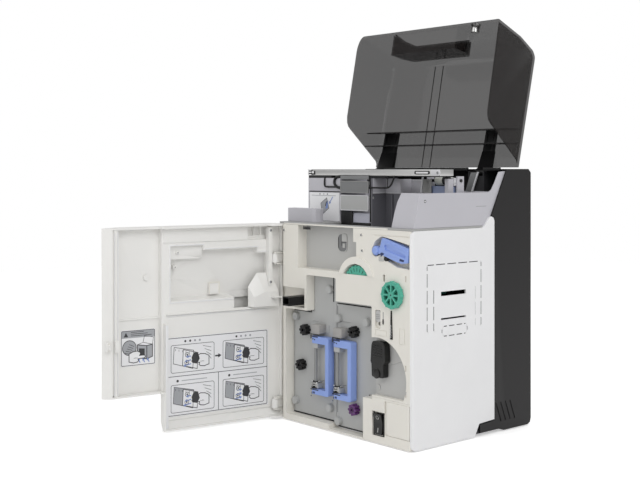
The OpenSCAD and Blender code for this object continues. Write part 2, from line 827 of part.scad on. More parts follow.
module film_bail() { color("#8ea6e6") bail(film_hinge); }
module ribbon_bail() { color("#8ea6e6") bail(ribbon_hinge); }
module film_knob_a() { color("#1f1f20") knob(film_a); }
module film_knob_b() { color("#1f1f20") knob(film_b); }
module ribbon_knob_a() { color("#1f1f20") knob(ribbon_a); }
module ribbon_knob_b() { color("#5a2a63") knob(ribbon_b); }
module film_roll_a() { color("#c9c6bd") roll(film_a, roll_r); }
module film_roll_b() { color("#c9c6bd") roll(film_b, takeup_r); }
module ribbon_roll_a() { color("#55545a") roll(ribbon_a, roll_r); }
module ribbon_roll_b() { color("#55545a") roll(ribbon_b, takeup_r); }

// -------------------------------------------------------------------- door

// Turns a piece drawn with the door shut to where the open door holds it.
module on_door() {
  translate([door_p[0], door_p[1], 0]) rotate([0, 0, -door_open])
    translate([-door_p[0], -door_p[1], 0]) children();
}

// Plan of the door; edge lists the points of its free side, from the outside in.
module door_plan(edge) {
  polygon(concat([[-xs + 20, door_yo]], edge, [[door_p[0], door_yr], [door_p[0], door_yo + 8]]));
  translate(door_p) circle(r = barrel_r, $fn = 64);
  polygon([[-xs + 20, door_yo], [-xs + 9, door_yo + 4], [-xs + 2, door_yo + 12],
    [-xs, door_yo + 22], [-xs, door_p[1]], [door_p[0], door_p[1]]]);
}

// Plan of the space inside, open towards the cabinet.
module room_plan(edge) {
  polygon(concat([[-xs + wall, door_yo + 19], [-xs + wall + 1, door_yo + 16],
    [-xs + 22, door_yo + wall]], edge, [[-xs - 1, yf + 20], [-xs - 1, door_p[1] + 1],
    [-xs + wall, door_p[1] + 1]]));
}

// Side view of the door: its lower outer edge is cut back.
module door_side(inset = 0) {
  polygon([[door_yo + inset, door_z0 + 36 + inset / 2], [door_yo + 13 + inset / 2,
    door_z0 + 24 + inset], [liner_y - 3 + inset / 2, door_z0 + 13 + inset],
    [yf - 8 + inset / 2, door_z0 + inset], [yf + 20, door_z0 + inset],
    [yf + 20, waist_z - inset], [door_yo + inset, waist_z - inset]]);
}

free_edge = [[free_x - 34, door_yo], [free_x - 26, door_yo + 4], [free_x - 16.5, door_yo + 10.5],
  [free_x - 8.5, rim_y - 17.5], [free_x - 2.5, rim_y - 13.8], [free_x, rim_y - 10.6],
  [free_x - 3.2, rim_y - 7.2], [free_x - 6.8, rim_y - 3.8], [free_x - 11, rim_y - 1.2],
  [free_x - 14, rim_y], [door_step_x + 4, rim_y], [door_step_x + 4, door_yr]];
step_edge = [[door_step_x - 13, door_yo], [door_step_x, liner_y - 3], [door_step_x, door_yr]];

module door_room() {
  intersection() {
    union() {
      plan(door_step_z + wall, waist_z)
        room_plan([[free_x - 36, door_yo + wall], [free_x - 27, door_yo + 7.4],
          [free_x - 17.5, door_yo + 14], [room_x, rim_y - 17.5], [room_x, yf + 20]]);
      plan(0, door_step_z + wall + 1)
        room_plan([[door_step_x - 16, door_yo + wall], [door_step_x - wall, liner_y - 3.6],
          [door_step_x - wall, yf + 20]]);
    }
    side(-xs - 1, xs) door_side(wall);
  }
}

module door_shell() {
  color("#ebe8df") on_door() {
    difference() {
      intersection() {
        union() {
          plan(door_step_z, waist_z) door_plan(free_edge);
          plan(0, door_step_z + 1) door_plan(step_edge);
        }
        side(-xs - 1, xs + 1) door_side();
      }
      door_room();
      // slots the body's hinge lugs swing into
      for (z = hinge_z, k = [-1, 1])
        slab(-xs - 1, -xs + wall + 2, door_p[1] - 10, yf + 20, z + k * 9.5 - 2.1,
          z + k * 9.5 + 2.1);
      // seat of the latch
      slab(free_x - 11, free_x - 3.6, rim_y - 6, yf, latch_z[0], latch_z[1]);
    }
    // sleeves on the hinge pins
    for (z = hinge_z)
      difference() {
        union() {
          rod_z(door_p, pin_r + 3, z - 7.4, z + 7.4, 32);
          slab(-xs + 1, door_p[0], door_p[1] - 3, door_p[1] + 1, z - 7.4, z + 7.4);
        }
        rod_z(door_p, pin_r + run_gap, z - 8, z + 8, 32);
      }
  }
}

module door_lining() {
  step_x = door_step_x - 8;
  color("#f0ede5") on_door()
    difference() {
      intersection() {
        door_room();
        union() {
          // raised lining and the wall at its left end
          slab(-xs, door_step_x, liner_y - wall, liner_y, 0, waist_z);
          slab(step_x, door_step_x, shallow_y, liner_y, 0, waist_z);
          slab(step_x, door_step_x - wall, liner_y, door_yr - 2, 0, 180);
          // raised panel along the top, and the box of the pocket beside it
          slab(-105, door_step_x - 4, liner_y, liner_y + 1.5, 313.5, waist_z);
          slab(tray_x0, -103, shallow_y - wall, liner_y, 311, waist_z);
          // shallow lining with its strip and ledge
          slab(step_x, xs, shallow_y - wall, shallow_y, 0, waist_z);
          slab(free_x - 24.8, free_x - 17.8, shallow_y, rim_y - 1, 0, waist_z);
          slab(door_step_x - wall, free_x - 24.8, shallow_y, shallow_y + 2.5, 188.5, 191);
          rod_y([80, 257], 5, shallow_y, shallow_y + 4, 24);
          // ledges under the tray and along the bottom
          slab(tray_x0, step_x, liner_y, liner_y + 3, 193, 195.5);
          slab(tray_x0, step_x, liner_y, liner_y + 1.5, 19, 21.5);
        }
      }
      // openings for the output tray and its inlet
      front(liner_y - 9, liner_y + 9) tray_outline();
      slab(hood_x[0], chute_x[1] + 7, liner_y - 9, liner_y + 1, 197, 213.1);
      // pocket with upright ribs
      for (x = [[tray_x0 + 2, -137], [-134, -124], [-121, -105]])
        slab(x[0], x[1], shallow_y, liner_y + 1, 320, waist_z - wall - 2);
      slab(tray_x0 + 2, -105, shallow_y + 4, liner_y + 1, 313, waist_z - wall - 2);
    }
}

module tray_outline(inset = 0) {
  offset(delta = -inset)
    polygon([[tray_x0, 213], [tray_x1, 213], [tray_x1, 309], [-22, 309], [-22, 301],
      [-127, 301], [-127, 292], [tray_x0, 292]]);
}

// Outside of the hood; inset gives its inside, open at the left end and to the tray.
module hood(inset = 0) {
  x = hood_x;
  front_y = door_yr - 0.5 - inset;
  back_y = liner_y - 2 * inset;
  hull() {
    slab(x[0] - inset, x[1] - 6 - inset, back_y, front_y, 197 + inset, 214 - inset);
    slab(x[0] - inset, x[0] + 28, back_y, front_y, 197 + inset, 222 - inset);
    slab(x[0] + 11, x[0] + 38 - inset, back_y, liner_y + 0.2, 197 + inset, 255 - inset);
    slab(x[0] + 11, x[1] - inset, back_y, liner_y + 0.2, 197 + inset, 232 - inset);
  }
}

module output_tray() {
  color("#e4e2da") on_door() {
    // tray let into the lining: back, floor and sides
    difference() {
      front(tray_y, liner_y) tray_outline();
      intersection() {
        front(tray_y, liner_y + 1) tray_outline(2);
        side(tray_x0, tray_x1) polygon([[tray_y + 2, 219], [liner_y + 1, 215.5],
          [liner_y + 1, 308], [tray_y + 8, 308]]);
      }
      slab(tray_x0 - 1, chute_x[1] + 7, tray_y + 2, liner_y + 1, 212, 225);
    }
    // raised corner plate with bosses, and the card stop
    slab(-20, tray_x1 - 2, tray_y + 1, liner_y - 6, 285, 307);
    for (c = [[26, 296], [31, 272]]) rod_y(c, 3.6, tray_y + 1, liner_y - 4, 20);
    rod_y([32, 252], 1.6, tray_y + 1, tray_y + 9, 16);
    slab(-56, -38, tray_y + 1, tray_y + 9, 222, 241);
    // hood that takes cards from the chute, with a lip along its roof
    difference() {
      hood();
      hood(2);
    }
    slab(hood_x[0], hood_x[0] + 15, door_yr - 0.5, yf + 10.5, 212, 214);
  }
}

module door_labels() {
  color("#f1f1f2") on_door() {
    slab(63, 124, shallow_y, shallow_y + 0.6, 113, 172);
    slab(-146, 47, liner_y, liner_y + 0.6, 24, 155.5);
  }
}

module door_latch() {
  color("#f2f0ea") on_door() {
    slab(free_x - 11, free_x - 3.6, rim_y - 6, rim_y + 2.5, latch_z[0], latch_z[1]);
    slab(free_x - 9, free_x - 6, rim_y + 2.5, yf - 0.6, latch_z[0] + 4, latch_z[1] - 4);
    slab(free_x - 24.6, free_x - 18, rim_y - 1, rim_y + 4, latch_z[0] - 2, latch_z[1] + 1);
  }
}

module hinge_strip() {
  color("#e3e1da") on_door() {
    side(tray_x0, tray_x0 + 7) polygon([[liner_y, 258], [door_yr - 2, 232.8],
      [door_yr - 2, 334], [liner_y, 334]]);
    for (z = [239, 329]) rod_y([tray_x0 + 3.5, z], 3, door_yr - 2, door_yr - 1, 24);
  }
}

// --------------------------------------------------------------- top cover

module on_lid() {
  translate([0, lid_p[0], lid_p[1]]) rotate([-lid_open, 0, 0])
    translate([0, -lid_p[0], -lid_p[1]]) children();
}

module lid_outer() {
  polygon([lid_a, lid_m, lid_m + [2.4, 6], lid_r + [-9, -8.5], lid_r + [-6.3, -5.2], lid_r + [-3, -2.2],
    lid_r + [0.6, 0], lid_r + [4, 0.9], lid_r + [8, 1], lid_h, [lid_h[0], top_z + 2.4],
    [84, top_z + 2.4], [78.5, 435], [26, lid_a[1]]]);
}

module lid_inner() {
  polygon([lid_a + [lid_wall - 1.2, -6], lid_m + [lid_wall, -0.5],
    lid_m + [2.4 + lid_wall, 4.5], lid_r + [-9 + lid_wall, -10], lid_r + [0, -lid_wall],
    lid_r + [8, 1 - lid_wall], lid_h + [1, -lid_wall], [lid_h[0] + 1, 420],
    [78.5, 420], [26, 338]]);
}

// Finger recess in the front wall; grow gives the wall round it.
module grip_recess(grow = 0) {
  hull() {
    slab(grip_x0 - grow, grip_x1 + grow, -160, grip_y + grow, 352 - grow, 380);
    slab(grip_x0 + 10 - grow, grip_x1 - 10 + grow, -160, grip_y + grow, 380, 399 + grow);
  }
}

module lid_shell() {
  color("#3a3634", 0.5) on_lid()
    difference() {
      union() {
        difference() {
          side(-lid_x, lid_x) lid_outer();
          side(-lid_x + lid_wall, lid_x - lid_wall) lid_inner();
        }
        intersection() {
          side(-lid_x, lid_x) lid_outer();
          grip_recess(2);
        }
      }
      grip_recess();
      // bore of the lock
      translate([106, -150, 361]) rotate([-90, 0, 0]) cylinder(r = 7, h = 20, $fn = 32);
    }
}

module lid_ribs() {
  color("#2b2929") on_lid() {
    for (r = [[[22.4, 441.4], [24.6, 441.3], [43, 352.4], [40.8, 352]],
        [[48, 440.3], [50.2, 440.2], [60, 388.4], [57.8, 388]]])
      side(-rib_x, rib_x) polygon(r);
  }
}

module lid_arms() {
  color("#161616") on_lid()
    for (a = arms)
      difference() {
        union() {
          rod_x(lid_p, eye_r, a[0], a[1], 32);
          side(a[0], a[1]) polygon([[62, 436.6], [62, 439.9], [88.5, 438.6],
            [102, 436.6], [98, 424.4], [92, 430]]);
        }
        rod_x(lid_p, pin_r + run_gap, a[0] - 1, a[1] + 1, 32);
      }
}

module lid_lock() {
  color("#c8c8cb") on_lid()
    difference() {
      translate([106, -141, 361]) rotate([-90, 0, 0]) cylinder(r = 6.9, h = 12, $fn = 32);
      slab(105.3, 106.7, -142, -139, 358, 364);
    }
}

base_pan();
feet();
side_cover_right();
side_cover_left();
rear_cover();
front_frame();
bay_box();
window_panel();
quadrant_panel();
switch_block();
blank_cover();
rocker();
deck();
deck_well();
upper_tray();
feeder_housing();
feeder_label();
feeder_gate();
gate_flap_upper();
gate_flap_lower();
wire_bail();
top_bar();
card_hopper();
feed_carriage();
card_stack();
pick_roller();
card_chute();
lid_hinge_posts();
door_hinge_pins();
rear_ports();
inner_works();
cleaning_brush();
head_slider();
head_lever();
release_lever();
feed_knob();
thumb_wheel();
film_frame();
film_knob_a();
film_roll_a();
film_knob_b();
film_roll_b();
film_bail();
ribbon_frame();
ribbon_knob_a();
ribbon_roll_a();
ribbon_knob_b();
ribbon_roll_b();
ribbon_bail();
door_shell();
door_lining();
output_tray();
door_labels();
door_latch();
hinge_strip();
lid_shell();
lid_ribs();
lid_arms();
lid_lock();
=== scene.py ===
"""Dresses the card printer: moulded covers, cassettes, feeder, smoked cover and stage."""
import json
import math
import random

import bmesh
import bpy
from bpy.props import FloatProperty, FloatVectorProperty
from mathutils import Matrix, Vector

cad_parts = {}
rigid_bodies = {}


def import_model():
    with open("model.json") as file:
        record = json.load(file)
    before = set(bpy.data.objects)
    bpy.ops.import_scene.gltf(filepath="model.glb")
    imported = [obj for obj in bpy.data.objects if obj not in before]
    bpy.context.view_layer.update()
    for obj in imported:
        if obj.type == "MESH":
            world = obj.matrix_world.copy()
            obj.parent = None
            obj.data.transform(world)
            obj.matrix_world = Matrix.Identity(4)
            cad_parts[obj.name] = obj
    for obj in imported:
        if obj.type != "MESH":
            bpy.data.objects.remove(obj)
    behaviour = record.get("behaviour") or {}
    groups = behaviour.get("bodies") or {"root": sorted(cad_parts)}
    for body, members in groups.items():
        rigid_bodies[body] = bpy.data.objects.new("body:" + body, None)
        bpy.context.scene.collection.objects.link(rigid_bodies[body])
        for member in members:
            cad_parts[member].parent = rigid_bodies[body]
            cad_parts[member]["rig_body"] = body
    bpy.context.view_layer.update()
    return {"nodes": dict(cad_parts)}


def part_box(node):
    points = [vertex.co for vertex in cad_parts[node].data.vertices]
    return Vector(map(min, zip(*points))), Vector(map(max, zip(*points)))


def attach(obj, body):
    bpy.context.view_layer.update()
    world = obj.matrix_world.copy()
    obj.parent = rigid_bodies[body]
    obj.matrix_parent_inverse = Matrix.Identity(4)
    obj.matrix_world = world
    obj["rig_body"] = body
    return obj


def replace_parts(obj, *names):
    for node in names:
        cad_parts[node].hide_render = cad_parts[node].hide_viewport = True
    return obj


bl_info = {
    "name": "Card Printer",
    "version": (1, 0, 0),
    "blender": (4, 5, 0),
    "location": "3D View > Sidebar > Printer",
    "description": "Builds the looks of an open desktop card printer round its CAD frame",
    "category": "Object",
}

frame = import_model()
MM = 0.001

# Hinges, in millimetres in the row frame, and how far each stands open at rest.
DOOR_HINGE = Vector((-155.5, -150.7, 0))
DOOR_OPEN = math.radians(98.5)
LID_HINGE = Vector((0, 100.6, 430.3))
LID_OPEN = math.radians(101.2)
DOOR = (Matrix.Translation(DOOR_HINGE) @ Matrix.Rotation(-DOOR_OPEN, 4, "Z")
        @ Matrix.Translation(-DOOR_HINGE))
LID = (Matrix.Translation(LID_HINGE) @ Matrix.Rotation(-LID_OPEN, 4, "X")
       @ Matrix.Translation(-LID_HINGE))
HERE = Matrix.Identity(4)
# Both ends of the two hinge arms of the top cover, across.
ARMS = ((-160, -120), (90, 118))


def linear(hexcode):
    """sRGB hex to linear red, green, blue and a full alpha."""
    parts = [int(hexcode[i:i + 2], 16) / 255 for i in (1, 3, 5)]
    return tuple(c / 12.92 if c <= 0.04045 else ((c + 0.055) / 1.055) ** 2.4
                 for c in parts) + (1.0,)


# ------------------------------------------------------------------ materials

def add(tree, kind, inputs=None, **settings):
    """Adds a node with its settings; an input that is a socket is linked, any other is set."""
    node = tree.nodes.new("ShaderNode" + kind)
    for key, value in settings.items():
        setattr(node, key, value)
    for key, value in (inputs or {}).items():
        if isinstance(value, bpy.types.NodeSocket):
            tree.links.new(value, node.inputs[key])
        else:
            node.inputs[key].default_value = value
    return node


def blank(name):
    """A new material with an empty node tree, and its output node."""
    material = bpy.data.materials.new(name)
    material.use_nodes = True
    material.node_tree.nodes.clear()
    return material, material.node_tree, add(material.node_tree, "OutputMaterial")


def ramp(tree, factor, low, high):
    """Turns a 0 to 1 factor into a blend of two colours."""
    mix = add(tree, "Mix", {0: factor, 6: low, 7: high}, data_type="RGBA")
    return mix.outputs[2]


def shade(hexcode, gain):
    """A lighter or darker version of a colour, linear."""
    return tuple(min(1.0, v * gain) for v in linear(hexcode)[:3]) + (1.0,)


def skin(name, hexcode, noise, tones, gloss, bump, sockets, stretch=None, flow=None):
    """A material whose tone, gloss and relief follow noise; sockets are the shader's own."""
    material, tree, out = blank(name)
    place = add(tree, "TexCoord").outputs["Object"]
    if stretch:
        place = add(tree, "Mapping", {"Vector": place, "Scale": stretch}).outputs[0]
    fine = add(tree, "TexNoise", {"Vector": place, **noise}).outputs["Fac"]
    tone = add(tree, "TexNoise", {"Vector": place, **flow}).outputs["Fac"] if flow else fine
    low, high = gloss
    sockets = dict(sockets)
    sockets["Base Color"] = ramp(tree, tone, *(shade(hexcode, gain) for gain in tones))
    sockets["Roughness"] = add(tree, "MapRange", {"Value": fine, "To Min": low,
                                                  "To Max": high}).outputs[0]
    if bump:
        strength, depth = bump
        sockets["Normal"] = add(tree, "Bump", {"Height": fine, "Strength": strength,
                                               "Distance": depth * MM}).outputs[0]
    surface = add(tree, "BsdfPrincipled", sockets)
    tree.links.new(surface.outputs[0], out.inputs[0])
    return material


def moulded(name, hexcode, rough, grain, depth, ior=1.54, shine=0.5):
    """Injection-moulded thermoplastic: spark-textured grain (mm), slight flow-line toning."""
    return skin(name, hexcode, {"Scale": 1 / (grain * MM), "Detail": 3.0, "Roughness": 0.6},
                (0.965, 1.03), (rough - 0.05, rough + 0.07), (0.5, depth),
                {"IOR": ior, "Specular IOR Level": shine},
                flow={"Scale": 1 / (70 * MM), "Detail": 2.0})


def rolled(name, hexcode, rough, line, along, depth=0.02):
    """Rolled or drawn metal: fine lines (mm apart) stretched along one way."""
    return skin(name, hexcode, {"Scale": 1 / (line * MM), "Detail": 4.0}, (0.9, 1.06),
                (rough - 0.08, rough + 0.1), (0.3, depth), {"Metallic": 1.0},
                stretch=tuple(0.09 * a for a in along))


def smoked(name, hexcode, alpha, rough=0.08):
    """Smoked polycarbonate, polished: a tinted skin that light passes and that mirrors lamps."""
    return skin(name, hexcode, {"Scale": 1 / (45 * MM), "Detail": 3.0}, (0.92, 1.08),
                (rough - 0.03, rough + 0.08), None,
                {"IOR": 1.585, "Alpha": alpha, "Specular IOR Level": 0.2})


FINISH = {}  # each finish by its short name, filled by finishes()


def finishes():
    """Every finish of the printer, by the name of the real material and how it was made."""
    FINISH.update({
        # ABS, moulded in a lightly sparked tool: even, dry white with a soft highlight
        "abs_white": moulded("abs_white_spark_textured", "#e9e9ea", 0.48, 1.1, 0.03),
        # ABS from a smoother tool: warmer white, broad soft sheen on the frame and switch block
        "abs_warm": moulded("abs_warm_white_moulded", "#e7e4dc", 0.4, 1.6, 0.02),
        # the same ABS inside the door, a touch paler
        "abs_door": moulded("abs_door_white_moulded", "#ecebe8", 0.42, 1.6, 0.02),
        # ABS with carbon black, coarse texture: dull near-black that greys at grazing angles
        "abs_black": moulded("abs_black_spark_textured", "#121011", 0.5, 1.4, 0.05, shine=0.32),
        # polycarbonate blend, mid grey and matt, of the cassette panels
        "pc_grey": moulded("pc_abs_grey_matt_moulded", "#b4b5b4", 0.52, 1.2, 0.03),
        "pc_panel": moulded("pc_abs_panel_grey_moulded", "#bbbbb9", 0.5, 1.4, 0.025),
        # bluish grey of the upper tray and deck
        "abs_tray": moulded("abs_cool_grey_moulded", "#bcbbc1", 0.46, 1.3, 0.03),
        "abs_deck": moulded("abs_deck_grey_moulded", "#a9a9a8", 0.46, 1.3, 0.03),
        # glass-filled nylon: dark, slightly mottled, dry
        "nylon_dark": moulded("nylon_glass_filled_moulded", "#2c2c2e", 0.55, 0.9, 0.04,
                              shine=0.35),
        # black nylon; also the painted shade in the knuckle slots, in the feed knob's hub holes and
        # at the light bar's left end
        "nylon_black": moulded("nylon_black_moulded", "#0c0c0d", 0.42, 1.2, 0.03, shine=0.35),
        "nylon_flap": moulded("nylon_mid_grey_moulded", "#78797a", 0.45, 1.2, 0.03),
        # acetal: waxy, saturated and a little glossy, for the parts that hands turn
        "acetal_blue": moulded("acetal_periwinkle_moulded", "#8fa7e4", 0.32, 1.8, 0.01, 1.48),
        "acetal_green": moulded("acetal_sea_green_moulded", "#4fae97", 0.34, 1.8, 0.01, 1.48),
        "acetal_slate": moulded("acetal_slate_blue_moulded", "#8b97b8", 0.36, 1.8, 0.01, 1.48),
        "acetal_purple": moulded("acetal_purple_moulded", "#5a2a68", 0.34, 1.8, 0.01, 1.48),
        # gloss black of the rocker and lever: sharp small highlights
        "abs_gloss_black": moulded("abs_gloss_black_moulded", "#0d0d0c", 0.3, 2.4, 0.01,
                                   shine=0.35),
        # neoprene, moulded: soft black with no clear highlight; also the painted shade under the
        # light bar, round the cassettes and in the scored lines
        "neoprene": moulded("neoprene_black_moulded", "#1e1e1f", 0.75, 0.8, 0.05, 1.52),
        # electro-galvanised sheet: dull silver with a rolled grain
        "zinc_sheet": rolled("steel_zinc_plated_rolled", "#a7a9ab", 0.42, 1.4, (1, 10, 10)),
        # anodised aluminium extrusion: pale satin with lines along its length
        "aluminium": rolled("aluminium_anodised_extruded", "#c3c3c2", 0.34, 0.9, (1, 14, 14)),
        # steel, powder coated: faint orange peel
        "powder_dark": moulded("steel_powder_coated_dark", "#36373a", 0.5, 2.0, 0.06, 1.5),
        # bright nickel plate of the lock
        "nickel": rolled("brass_nickel_plated", "#cfcfcd", 0.16, 0.8, (4, 4, 4), 0.005),
        # polyester enamel, padded on: small crisp marks
        "paint_white": moulded("enamel_white_padded", "#dcdcda", 0.4, 1.5, 0.005, 1.5),
        # pale cool ABS of the small end plates and lips
        "abs_pale": moulded("abs_pale_grey_moulded", "#d3d3d6", 0.42, 1.3, 0.02),
        # the same blend on the pins and mounts of the cassettes: darker, with a finer grain; on the
        # pins the darkening is painted shade against the highlight they catch
        "pc_pin_painted_shade": moulded("pc_abs_grey_pin_painted_shade", "#8b8c8b", 0.5, 1.2, 0.01),
        "pc_mount": moulded("pc_abs_grey_moulded_dark", "#a2a09e", 0.5, 1.2, 0.02),
        # edges that the tool leaves polished on grey parts: a thin brighter line
        "pc_edge": moulded("pc_abs_grey_edge_polished", "#9b9b9a", 0.36, 1.2, 0.01),
        # acetal without pigment: milky white pins
        "acetal_natural": moulded("acetal_natural_moulded", "#e2e1dc", 0.34, 1.8, 0.01, 1.48),
        # nylon of the card guides: a flat mid grey, with paler lips worn smooth
        "nylon_guide": moulded("nylon_guide_grey_moulded", "#64646a", 0.5, 0.9, 0.03),
        "nylon_lip": moulded("nylon_mid_grey_edge", "#8b8b8a", 0.4, 1.2, 0.01),
        # painted recess shade of the acetal parts: the same hue, much darker, for what lies deep in
        # a recess
        "acetal_blue_recess_shade": moulded("acetal_blue_painted_recess_shade", "#27335c", 0.4, 1.8, 0.01, 1.48),
        "acetal_green_recess_shade": moulded("acetal_green_painted_recess_shade", "#14594a", 0.4, 1.8, 0.01, 1.48),
        "acetal_purple_recess_shade": moulded("acetal_purple_painted_recess_shade", "#3c1746", 0.36, 1.8, 0.01, 1.48),
        # cast silicone: milky, faintly warm, with a soft gloss
        "silicone": moulded("silicone_milky_cast", "#d4d6cf", 0.3, 2.0, 0.01, 1.42),
        # smoked polycarbonate
        "smoke": smoked("polycarbonate_smoked_polished", "#1d1918", 0.66),
        "smoke_rib": smoked("polycarbonate_smoked_rib", "#121010", 0.8, 0.12),
        # polyester film wound on its core, edges showing as fine rings
        "pet_film": moulded("polyester_film_wound", "#cfccc2", 0.22, 0.7, 0.04, 1.57),
        "ribbon": moulded("dye_ribbon_wound", "#3c3a41", 0.28, 0.7, 0.04, 1.5),
        # laminated PVC cards: clean cool white with a satin face
        "pvc_card": moulded("pvc_card_laminated", "#d8d9e6", 0.28, 2.5, 0.005, 1.53),
        # polyester label stock, printed: smooth cold white
        "label": moulded("polyester_label_printed", "#ececee", 0.35, 3.0, 0.004, 1.5),
        "ink": moulded("screen_ink_black", "#333336", 0.5, 1.5, 0.005, 1.5),
        "ink_grey": moulded("screen_ink_grey", "#a4a6aa", 0.5, 1.5, 0.005, 1.5),
        "ink_blue": moulded("screen_ink_blue", "#7d93c9", 0.5, 1.5, 0.005, 1.5),
    })


# Which finish each CAD node has.
CAD_FINISH = {node: finish for finish, nodes in {
    "powder_dark": "base_pan inner_works",
    "neoprene": "feet pick_roller",
    "abs_white": "side_cover_right side_cover_left",
    "abs_black": "rear_cover",
    "abs_warm": "front_frame switch_block blank_cover",
    "zinc_sheet": "bay_box",
    "pc_panel": "window_panel quadrant_panel",
    "abs_gloss_black": "rocker head_lever",
    "abs_deck": "deck",
    "nylon_dark": "deck_well lid_hinge_posts",
    "abs_tray": "upper_tray feeder_housing card_hopper",
    "label": "feeder_label door_labels",
    "nylon_guide": "feeder_gate",
    "nylon_flap": "gate_flap_upper",
    "pc_grey": "gate_flap_lower film_frame ribbon_frame",
    "nylon_black": "wire_bail card_chute rear_ports cleaning_brush film_knob_a film_knob_b "
                   "ribbon_knob_a lid_arms",
    "aluminium": "top_bar head_slider",
    "acetal_slate": "feed_carriage",
    "pvc_card": "card_stack",
    "acetal_natural": "door_hinge_pins",
    "acetal_blue": "release_lever film_bail ribbon_bail",
    "acetal_green": "feed_knob thumb_wheel",
    "pet_film": "film_roll_a film_roll_b",
    "ribbon": "ribbon_roll_a ribbon_roll_b",
    "acetal_purple": "ribbon_knob_b",
    "abs_door": "door_shell door_lining output_tray door_latch hinge_strip",
    "smoke": "lid_shell",
    "smoke_rib": "lid_ribs",
    "nickel": "lid_lock",
}.items() for node in nodes.split()}


def paint(obj, finish):
    """Gives an object one finish."""
    obj.data.materials.clear()
    obj.data.materials.append(FINISH[finish])
    return obj


# --------------------------------------------------------------------- meshes

SHARP = 32  # degrees between two faces, from which a CAD edge is rounded


def smooth_object(name, mesh, angle):
    """An object in the scene, shaded smooth up to an angle between faces."""
    mesh.polygons.foreach_set("use_smooth", [True] * len(mesh.polygons))
    mesh.set_sharp_from_angle(angle=math.radians(angle))
    obj = bpy.data.objects.new(name, mesh)
    bpy.context.scene.collection.objects.link(obj)
    return obj


def piece(name, bm, finish, body="cabinet", place=HERE, smooth=40):
    """Turns a mesh drawn in millimetres into a piece that rides on a body."""
    mesh = bpy.data.meshes.new(name)
    bmesh.ops.recalc_face_normals(bm, faces=bm.faces)
    bm.to_mesh(mesh)
    bm.free()
    mesh.transform(Matrix.Scale(MM, 4) @ place)
    obj = smooth_object(name, mesh, smooth)
    paint(obj, finish)
    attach(obj, body)
    return obj


def build(name, finish, draw, *calls, body="cabinet", place=HERE):
    """One piece from calls of one drawing function, each a list of what it's given."""
    bm = bmesh.new()
    for each in calls:
        draw(bm, *each)
    return piece(name, bm, finish, body, place)


def soften(node, width):
    """A copy of a CAD node with its sharp edges rounded, as a moulding tool leaves them."""
    source = frame["nodes"][node]
    mesh = source.data.copy()
    bm = bmesh.new()
    bm.from_mesh(mesh)
    bmesh.ops.remove_doubles(bm, verts=bm.verts, dist=2e-6)
    bmesh.ops.dissolve_limit(bm, angle_limit=math.radians(0.6), verts=bm.verts, edges=bm.edges)
    bm.to_mesh(mesh)
    bm.free()
    obj = smooth_object(node + "_moulded", mesh, SHARP)
    bevel = obj.modifiers.new("edge", "BEVEL")
    bevel.width, bevel.segments = width * MM, 2
    bevel.limit_method, bevel.angle_limit = "ANGLE", math.radians(SHARP)
    bevel.use_clamp_overlap = True
    bevel.harden_normals = True
    paint(obj, CAD_FINISH[node])
    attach(obj, source["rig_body"])
    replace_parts(obj, node)


def chamfer(bm, edges, width):
    """Rounds edges over a width."""
    bmesh.ops.bevel(bm, geom=list(set(edges)), offset=width, segments=2, affect="EDGES",
                    profile=0.5)


def box(bm, low, high, bevel=0.0):
    """A block between two corners, with its edges rounded."""
    verts = bmesh.ops.create_cube(bm, size=1.0)["verts"]
    for v in verts:
        v.co = Vector([low[i] + (v.co[i] + 0.5) * (high[i] - low[i]) for i in range(3)])
    if bevel:
        chamfer(bm, [e for v in verts for e in v.link_edges], bevel)


def flats(bm, y0, y1, bevel, *spans):
    """Blocks of one depth on a front, each by its ends in x and in z."""
    for x0, x1, z0, z1 in spans:
        box(bm, (x0, y0, z0), (x1, y1, z1), bevel)


def rod(bm, start, end, r, n):
    """A round bar between two points."""
    a, b = Vector(start), Vector(end)
    verts = bmesh.ops.create_cone(bm, cap_ends=True, segments=n, radius1=r, radius2=r,
                                  depth=(b - a).length)["verts"]
    turn = (b - a).to_track_quat("Z", "Y").to_matrix().to_4x4()
    bmesh.ops.transform(bm, matrix=Matrix.Translation((a + b) / 2) @ turn, verts=verts)


def around(r, n):
    """Points round a circle."""
    turns = [2 * math.pi * i / n for i in range(n)]
    return [(r * math.cos(t), r * math.sin(t)) for t in turns]


def rounded(x0, x1, y0, y1, r, n=5):
    """The outline of a rectangle with round corners."""
    points = []
    for cx, cy, start in ((x1 - r, y1 - r, 0), (x0 + r, y1 - r, 90), (x0 + r, y0 + r, 180),
                          (x1 - r, y0 + r, 270)):
        for i in range(n + 1):
            t = math.radians(start + 90 * i / n)
            points.append((cx + r * math.cos(t), cy + r * math.sin(t)))
    return points


def on_axis(axis, point, along):
    """A point of an outline set at a distance along an axis."""
    u, v = point
    return {"x": (along, u, v), "y": (u, along, v), "z": (u, v, along)}[axis]


def skirt(bm, loops, closed=False):
    """Faces between neighbouring loops of points; closed joins the last to the first."""
    for a, b in zip(loops, loops[1:] + loops[:1] if closed else loops[1:]):
        for i in range(len(a)):
            j = (i + 1) % len(a)
            bm.faces.new((a[i], a[j], b[j], b[i]))


def push(bm, outline, low, high, axis="y", bevel=0.0):
    """An outline pushed along an axis, with both of its rims rounded."""
    near, far = ([bm.verts.new(on_axis(axis, p, h)) for p in outline] for h in (low, high))
    caps = [bm.faces.new(near), bm.faces.new(far[::-1])]
    skirt(bm, [far, near])
    if bevel:
        chamfer(bm, [e for f in caps for e in f.edges], bevel)


def prisms(bm, low, high, bevel, *outlines):
    """Outlines on a front, all pushed from one depth to another."""
    for outline in outlines:
        push(bm, outline, low, high, "y", bevel)


